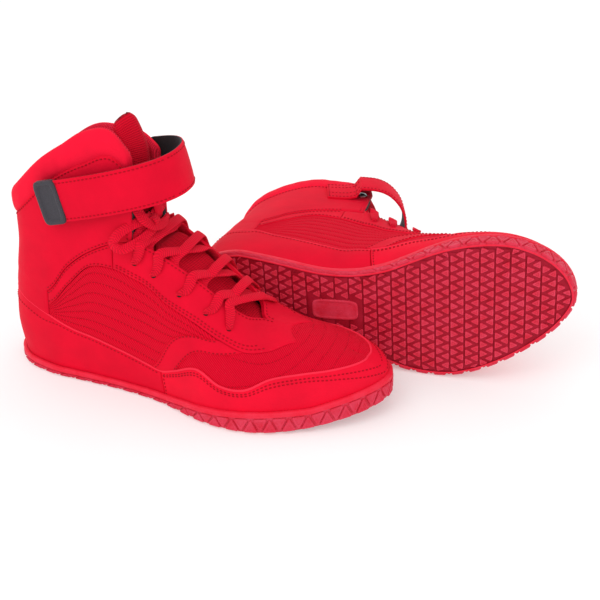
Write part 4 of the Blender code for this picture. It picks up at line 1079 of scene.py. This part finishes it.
def make_strap(boot):
    places, ups, outs, first = strap_lines()
    corner = first + STRAP_CORNER * ROUTE_STEPS
    # For each length: its points, the body before it, and the first and last point of the fold between them.
    lengths = {
        "strap_front": (slice(0, corner - 3), "boot", first - 5, first + 10),
        "strap_end": (slice(corner - 4, len(places)), "strap_front", corner - 3, corner + 5),
    }

    def fold(obj, name):
        _, before, start, finish = lengths[name]
        start, finish = (tuple(to_world(boot, places[k])[0]) for k in (start, finish))
        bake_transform(obj)
        return obj

    stitches = {}
    for name, (part, *_) in lengths.items():
        obj = strap_piece(boot, name, places[part], ups[part], outs[part])
        stands_for(boot, fold(obj, name), "nubuck", name)
        stitches[name] = []
        for edge in (-13.0, 13.0):
            line = places[part] + ups[part] * edge + outs[part] * 0.95
            stitches[name] += stitch_row(line, outs[part])
    box = slice(0, first + 1)
    for edge in (-6.0, 6.0):
        stitches["strap_front"] += stitch_row(places[box] + ups[box] * edge + outs[box] * 1.3, outs[box])
    across = np.linspace(-13, 13, 12)[:, None]
    for k in (1, first - 1):
        line = places[k] + ups[k] * across + outs[k] * 1.25
        stitches["strap_front"] += stitch_row(line, np.tile(outs[k], (12, 1)))
    for name, parts in stitches.items():
        fold(piece(boot, name + "_stitches", *gather(parts), "stitch", body=None), name)
    rings = [places[k] + np.array([ups[k] * u + outs[k] * v for u, v in HOOK_SECTION])
             for k in range(corner + 3, len(places) - 6)]
    obj = piece(boot, "hook_tape", np.concatenate(rings), loft_faces(len(rings), len(HOOK_SECTION)), "hook",
                body="strap_end")
    stands_for(boot, obj, "hook", "hook_tape")
    make_tab(boot)


def make_tab(boot):
    last = np.array(STRAP_ROUTE[-1])
    before = np.array(STRAP_ROUTE[-2])
    start = last + unit(before - last) * TAB_LENGTH
    centre = strap_place(*((last + start) / 2))
    length = unit(strap_place(*last) - strap_place(*start))
    out = unit(np.cross(STRAP_UP, length))
    if out[1] > 0:
        out = -out
    angles = np.linspace(0, 2 * math.pi, 40, endpoint=False)

    def ring(height, inset):
        u, v = rounded_box(angles, TAB_LENGTH / 2 + 0.3 - inset, STRAP_WIDTH / 2 + 1.0 - inset, 0.32)
        return centre + u[:, None] * length + v[:, None] * STRAP_UP + out * height

    heights = ((-1.2, 0.3), (-1.0, 0.0), (1.8, 0.0), (2.5, 0.35), (2.75, 0.9), (2.75, 2.3), (2.5, 2.8),
               (1.8, 3.3), (1.55, 4.0), (1.6, 6.0))
    rings = [ring(height, inset) for height, inset in heights]
    obj = piece(boot, "strap_tab", np.concatenate(rings), loft_faces(len(rings), 40), "tab", body="strap_end",
                sharp=60)
    stands_for(boot, obj, "black_rubber", "strap_tab")


# ---------------------------------------------------------------- sole

FINE = 4
OUTLINE_COLUMNS = np.arange(COLUMNS * FINE) / FINE


def sole_line(inset):
    """The sole's outline, inset from the upper's edge: x, y."""
    return np.array([meridian(a)[:2] - outward(a)[:2] * (inset + RIM_WIDTH) for a in OUTLINE_COLUMNS])


OUT_DIRECTIONS = np.array([outward(a) for a in OUTLINE_COLUMNS])
RIMS = np.array([along(RIM_HEIGHTS, meridian(a)[0]) for a in OUTLINE_COLUMNS])


def sole_ring(inset, heights=None, lift=0.0):
    """The outline at the given heights, or lifted from the sole's curved bottom."""
    line = sole_line(inset)
    z = bottom_height(line[:, 0]) + lift if heights is None else heights
    return np.concatenate([line, z[:, None]], 1)


def rim_ring(gap, drop=0.0):
    low, high = surf(OUTLINE_COLUMNS, 0.0), surf(OUTLINE_COLUMNS, 1.0)
    share = (RIMS - drop - low[:, 2]) / (high[:, 2] - low[:, 2])
    reached = low + (high - low) * share[:, None] + OUT_DIRECTIONS * gap
    return np.concatenate([reached[:, :2], (RIMS - drop)[:, None]], 1)


def outline_cap(size, start, flip):
    faces = []
    half = size // 2
    for i in range(half):
        quad = [i, i + 1, (size - i - 1) % size, (size - i) % size]
        quad = list(dict.fromkeys(quad))
        if len(quad) > 2:
            faces.append(tuple(start + v for v in (quad[::-1] if flip else quad)))
    return faces


def inside(points, polygon):
    """Which points lie inside a polygon."""
    x, y = points[..., 0, None], points[..., 1, None]
    x0, y0 = polygon[:, 0], polygon[:, 1]
    x1, y1 = np.roll(x0, -1), np.roll(y0, -1)
    crosses = ((y0 > y) != (y1 > y)) & (x < (x1 - x0) * (y - y0) / (y1 - y0 + 1e-12) + x0)
    return crosses.sum(-1) % 2 == 1


LABEL_CENTRE = np.array((115.5, -8.5))
LABEL_HALF = np.array((17.0, 7.6))
TREAD_COLUMN, TREAD_PITCH, TREAD_DEPTH = 10.6, 7.4, 1.5
KNOB_GAP, KNOB_REACH, KNOB_HALF = 0.55, 6.7, 3.05
WALL_KNOB_PITCH = 6.6


def cut_triangle(corners, shrink, cut):
    """A triangle shrunk towards its centre, with each corner cut off: six points."""
    corners = np.asarray(corners, float)
    centre = corners.mean(0)
    small = centre + (corners - centre) * shrink
    pairs = [(small[k], small[m % 3]) for k in range(3) for m in (k - 1, k + 1)]
    return [corner + (other - corner) * cut for corner, other in pairs]


def knob(corners):
    """A tapered triangular knob of the tread. A recess in its face holds a smaller triangle."""
    levels = ((1.0, TREAD_DEPTH), (0.97, 0.35), (0.88, 0.0), (0.52, 0.0), (0.47, 0.4), (0.3, 0.4),
              (0.22, 0.05))
    points = [(x, y, height) for shrink, height in levels for x, y in cut_triangle(corners, shrink, 0.13)]
    return np.array(points), loft_faces(len(levels), 6)


def make_tread(boot):
    edge = sole_line(-RIM_WIDTH + 3.4)
    box = LABEL_HALF + 1.6
    knobs, strips = [], []
    columns = int(290 / TREAD_COLUMN) + 1
    for i in range(columns):
        x0 = -1.0 + i * TREAD_COLUMN
        x1 = x0 + TREAD_COLUMN
        for j in range(-10, 10):
            for flip in (0, 1):
                y = (j + 0.5 * flip) * TREAD_PITCH
                base_x, tip_x = x0 + KNOB_GAP, x0 + KNOB_REACH
                if flip:
                    base_x, tip_x = x1 - KNOB_GAP, x1 - KNOB_REACH
                corners = np.array(((base_x, y - KNOB_HALF), (base_x, y + KNOB_HALF), (tip_x, y)))
                centre = corners.mean(0)
                if not inside(centre, edge) or (np.abs(centre - LABEL_CENTRE) < box + 1.0).all():
                    continue
                for k in range(3):
                    while not inside(corners[k], edge):
                        corners[k] += (centre - corners[k]) * 0.12
                points, faces = knob(corners)
                points[:, 2] += bottom_height(points[:, 0])
                knobs.append((points, faces))
        # The strip of each tread column, with a zigzag edge beside the fine groove.
        ys = np.arange(-62.0, 56.0, TREAD_PITCH / 4)
        zigzag = 0.42 * np.abs(((ys / TREAD_PITCH * 2) % 2) - 1)
        line = np.stack([np.full(len(ys), x0), ys], -1)
        ends = np.stack([np.full(len(ys), x1), ys], -1)
        keep = inside(line, edge) & inside(ends, edge)
        if keep.sum() < 4:
            continue
        index = np.flatnonzero(keep)
        rings = []
        for k in range(index[0], index[-1] + 1):
            y = ys[k]
            left, right = x0 + 0.25 + zigzag[k], x1 - 0.25 - 0.42 + zigzag[k]
            rings.append(np.array([(left, y, 1.0), (left, y, 2.0), (right, y, 2.0), (right, y, 1.0),
                                   (right - 0.3, y, 0.85), (left + 0.3, y, 0.85)]))
        points = np.concatenate(rings)
        points[:, 2] += bottom_height(points[:, 0])
        strips.append((points, loft_faces(len(rings), 6)))
    angles = np.linspace(0, 2 * math.pi, 48, endpoint=False)

    def label_ring(inset, height):
        u, v = rounded_box(angles, *(LABEL_HALF - inset), 0.42)
        return np.stack([LABEL_CENTRE[0] + u, LABEL_CENTRE[1] + v, np.full(48, height)], -1)

    rings = [label_ring(inset, height) for inset, height in
             ((-0.6, 1.6), (-0.2, 0.3), (0.3, 0.05), (1.2, 0.05), (1.6, 0.35), (2.2, 0.45), (4.5, 0.45))]
    label = (np.concatenate(rings), loft_faces(len(rings), 48))
    piece(boot, "tread_knobs", *gather(knobs), "rubber", sharp=30)
    piece(boot, "tread_strips", *gather(strips), "rubber_base", sharp=30)
    piece(boot, "sole_label", *label, "rubber", sharp=40)


def make_sole(boot):
    outer = -RIM_WIDTH
    rings = [sole_ring(outer + inset, lift=lift) for inset, lift in
             ((3.2, TREAD_DEPTH), (3.0, 0.35), (2.2, 0.15), (1.7, 0.6), (1.2, 2.2))]
    shelf = sole_ring(outer + 1.0, np.maximum(RIMS - 4.2, 3.4))
    lip = sole_ring(outer, shelf[:, 2] + 0.5)
    face = rim_ring(RIM_WIDTH + 0.15, 1.3)
    face[:, 2] = np.maximum(face[:, 2], lip[:, 2] + 0.6)
    rings += [shelf, lip, face, rim_ring(RIM_WIDTH - 0.5, 0.25), rim_ring(RIM_WIDTH - 1.2, 0.0),
              rim_ring(0.35, 0.1), rim_ring(-0.3, 1.6)]
    size = COLUMNS * FINE
    under_rim = RIMS - RIM_OVERLAP
    rings += [sole_ring(0.0, under_rim), sole_ring(LEDGE_WIDTH, under_rim),
              sole_ring(LEDGE_WIDTH, lift=PLATE_THICKNESS)]
    faces = loft_faces(len(rings), size, caps=False)
    base, rubber, rim = 0, 1, 2
    bands = (base, rim, rim, rubber, rubber, rim, rim, rim, rim, rim, rubber, rubber, rubber, rubber)
    slots = [slot for slot in bands for _ in range(size)]
    bottom = outline_cap(size, 0, False)
    top = outline_cap(size, (len(rings) - 1) * size, True)
    faces += bottom + top
    slots += [base] * (len(bottom) + len(top))
    obj = piece(boot, "outsole", np.concatenate(rings), faces, ["rubber_base", "rubber", "rim"], sharp=35,
                slots=slots)
    stands_for(boot, obj, "rubber", "outsole", "midsole")
    wall = sole_line(outer + 1.1)
    closed = np.concatenate([wall, wall[:1]])
    distance = distances(closed)
    directions = np.concatenate([OUT_DIRECTIONS, OUT_DIRECTIONS[:1]])
    tops = np.concatenate([shelf[:, 2], shelf[:1, 2]])
    total = distance[-1]
    count = int(total / WALL_KNOB_PITCH / 2) * 2
    pitch = total / count
    parts = []

    def on_wall(s, height, out):
        s = s % total
        place = interpolated(s, distance, closed)
        direction = unit(interpolated(s, distance, directions[:, :2]))
        low = float(bottom_height(place[0])) + 0.9
        high = float(np.interp(s, distance, tops)) - 0.3
        spot = place + direction * out
        return (spot[0], spot[1], low + (high - low) * height)

    for k in range(count):
        s = k * pitch
        up = k % 2 == 0
        base_z, tip_z = (0.02, 0.98) if up else (0.98, 0.02)
        corners = [(-0.82, base_z), (0.82, base_z), (0.0, tip_z)]
        levels = ((1.0, -0.2), (0.95, 1.0), (0.82, 1.45), (0.5, 1.45), (0.45, 1.1), (0.2, 1.1))
        rings = [[on_wall(s + u * pitch, v, out) for u, v in cut_triangle(corners, shrink, 0.12)]
                 for shrink, out in levels]
        parts.append((np.array([p for ring in rings for p in ring]), loft_faces(len(rings), 6)))
    piece(boot, "sole_wall_knobs", *gather(parts), "rubber", sharp=30)
    rings = [sole_ring(inset, lift=lift) for inset, lift in ((7.6, 8.3), (7.6, 11.6), (9.0, 12.0))]
    faces = loft_faces(3, size, caps=False) + outline_cap(size, 0, False) + outline_cap(size, 2 * size, True)
    points = np.concatenate(rings)
    obj = piece(boot, "insole", points, faces, "insole", uv=points[:, :2], sharp=40)
    stands_for(boot, obj, "knit", "insole")
    make_tread(boot)


# ---------------------------------------------------------------- stitching


QUILT_STITCH = {"pitch": 2.6, "length": 1.7, "radius": 0.34}
# Stitch rows along an edge: first and last column, samples, row, distance above it and lift, both in mm.
SEAMS = (
    (0.0, 9.0, 120, 2.0, -2.4, 0.0),
    (9.1, 19.0, 120, 2.0, -3.0, 0.0),
    (9.1, 19.0, 120, 2.0, -5.0, 0.0),
    (6.1, 14.0, 110, 4.0, 2.4, 0.0),
    (6.1, 13.6, 110, 4.0, 4.4, 0.0),
    (8.1, 14.4, 110, 5.0, -2.4, 0.0),
    (3.0, 6.0, 60, 5.0, -2.0, 0.0),
    (3.0, 6.1, 60, 4.0, 2.0, 0.0),
    (3.0, 6.0, 60, 5.0, 2.0, 0.3),
    (0.0, 6.9, 110, 7.0, -2.2, 0.3),
)


def make_stitching(boot, extra):
    parts = list(extra)
    for sign in (1, -1):
        for first, last, count, row, move, layer in SEAMS:
            parts += seam(sign * np.linspace(first, last, count), row, move, layer)
        rows = np.linspace(5.05, 6.9, 40)
        parts += seam(np.full(40, sign * 6.98), rows, -sign * 3.0, layer=0.4, across=False)
        parts += seam(np.full(20, sign * 9.0), np.linspace(0.1, 1.95, 20), sign * 2.0, across=False)
        rows = np.linspace(2.06, 3.95, 40)
        for column, move in ((10.0, 2.0), (12.0, -2.0)):
            columns = sign * strut_warp(np.full(40, column), rows)
            parts += seam(columns, rows, sign * move, layer=0.15, across=False)
        for k in range(1, 8):
            row = 2 + k / 4
            end = float(band_edge(np.array(row), 8.2, 11.9))
            parts += seam(sign * np.linspace(3.2, end, 100), row, layer=-1.3, **QUILT_STITCH)
    for k in range(2, 9):
        turn = np.linspace(-2.6, 2.6, 260)
        radius = k * ARC_PITCH
        x, y = ARC_CENTRE[0] + radius * np.cos(turn), ARC_CENTRE[1] + radius * np.sin(turn)
        a, r, found = on_plan(x, y)
        signed = np.abs(signed_column(a))
        found &= (r > 2.08) & (signed > band_edge(r, 10.0, 13.0) + 0.1)
        found &= (r < 3.96) | (signed > 15.1)
        for run in np.split(np.arange(260), np.flatnonzero(np.diff(found.astype(int))) + 1):
            if found[run[0]] and len(run) > 8:
                parts += seam(a[run], r[run], layer=-1.2, **QUILT_STITCH)
    piece(boot, "stitching", *gather(parts), "stitch", sharp=0)
    # Tubes along the top edges of the toe guard and heel foxing: the rounded overlay edges, coloured lighter
    # than the nubuck as a painted highlight on the cut edges.
    parts = []
    ring = np.linspace(0, 2 * math.pi, 8, endpoint=False)
    for first, last, row, radius, lift in ((9.0, 29.0, 2.0, 0.85, -0.35), (-9.0, 9.0, 2.0, 0.6, -0.5)):
        columns = np.linspace(first, last, 260)
        centres = shell(columns, np.full(260, row), np.full(260, lift))
        n = normal(columns, np.full(260, row))
        tangent = unit(np.gradient(centres, axis=0))
        side = unit(np.cross(tangent, n))
        around = side[:, None] * np.cos(ring)[None, :, None] + n[:, None] * np.sin(ring)[None, :, None]
        rings = centres[:, None] + around * radius
        parts.append((rings.reshape(-1, 3), loft_faces(260, 8)))
    piece(boot, "overlay_piping", *gather(parts), "piping", sharp=0)


def make_boot(boot):
    make_sole(boot)
    make_upper(boot)
    make_collar(boot)
    extra = make_tongue(boot)
    make_laces(boot)
    make_eyelets(boot)
    make_strap(boot)
    make_stitching(boot, extra)


def aim(obj, place, target):
    obj.location = place
    obj.rotation_euler = (Vector(target) - obj.location).to_track_quat("-Z", "Y").to_euler()


def make_camera():
    camera = bpy.data.cameras.new("camera")
    camera.lens = 72.0
    camera.sensor_width = 36.0
    camera.clip_start, camera.clip_end = 0.01, 20.0
    obj = add_object("camera", camera)
    aim(obj, (0.00594, -0.82065, 0.4808), (0.00594, -0.06145, 0.06))
    bpy.context.scene.camera = obj


def make_light(name, place, target, energy, size):
    light = bpy.data.lights.new(name, "AREA")
    light.energy = energy
    light.shape = "RECTANGLE"
    light.size, light.size_y = size
    aim(add_object(name, light), place, target)


def make_studio():
    floor = bpy.data.meshes.new("floor")
    floor.from_pydata([(-6, -6, 0), (6, -6, 0), (6, 6, 0), (-6, 6, 0)], [], [(0, 1, 2, 3)])
    obj = add_object("floor", floor)
    s = Shader("floor_paper", 0.9, 0.1)
    s.colour(s.ramp(s.noise(6.0, 2.0), [(0.3, (0.7,) * 3), (0.7, (0.72,) * 3)]))
    s.set("Emission Color", (1.0, 1.0, 1.0, 1.0))
    s.set("Emission Strength", 0.3)
    floor.materials.append(s.material)
    world = bpy.data.worlds.new("studio")
    world.use_nodes = True
    world.node_tree.nodes["Background"].inputs["Color"].default_value = (1.0, 1.0, 1.0, 1.0)
    world.node_tree.nodes["Background"].inputs["Strength"].default_value = 1.0
    bpy.context.scene.world = world
    make_light("key", (-0.7, -0.9, 1.3), (0.0, 0.0, 0.05), 4.5, (0.9, 0.9))
    make_light("front", (0.6, -1.3, 0.7), (0.0, 0.0, 0.05), 1.2, (1.0, 0.8))
    bpy.context.scene.view_settings.view_transform = "Standard"


make_camera()
for boot in (boot_of("right_", 1, -19.7, 0.0, 0.0, (-203.562, -21.85, 0.0)),
             boot_of("left_", -1, -14.2, -3.9, -93.0, (-80.462, -19.85, 45.133))):
    make_boot(boot)
make_studio()
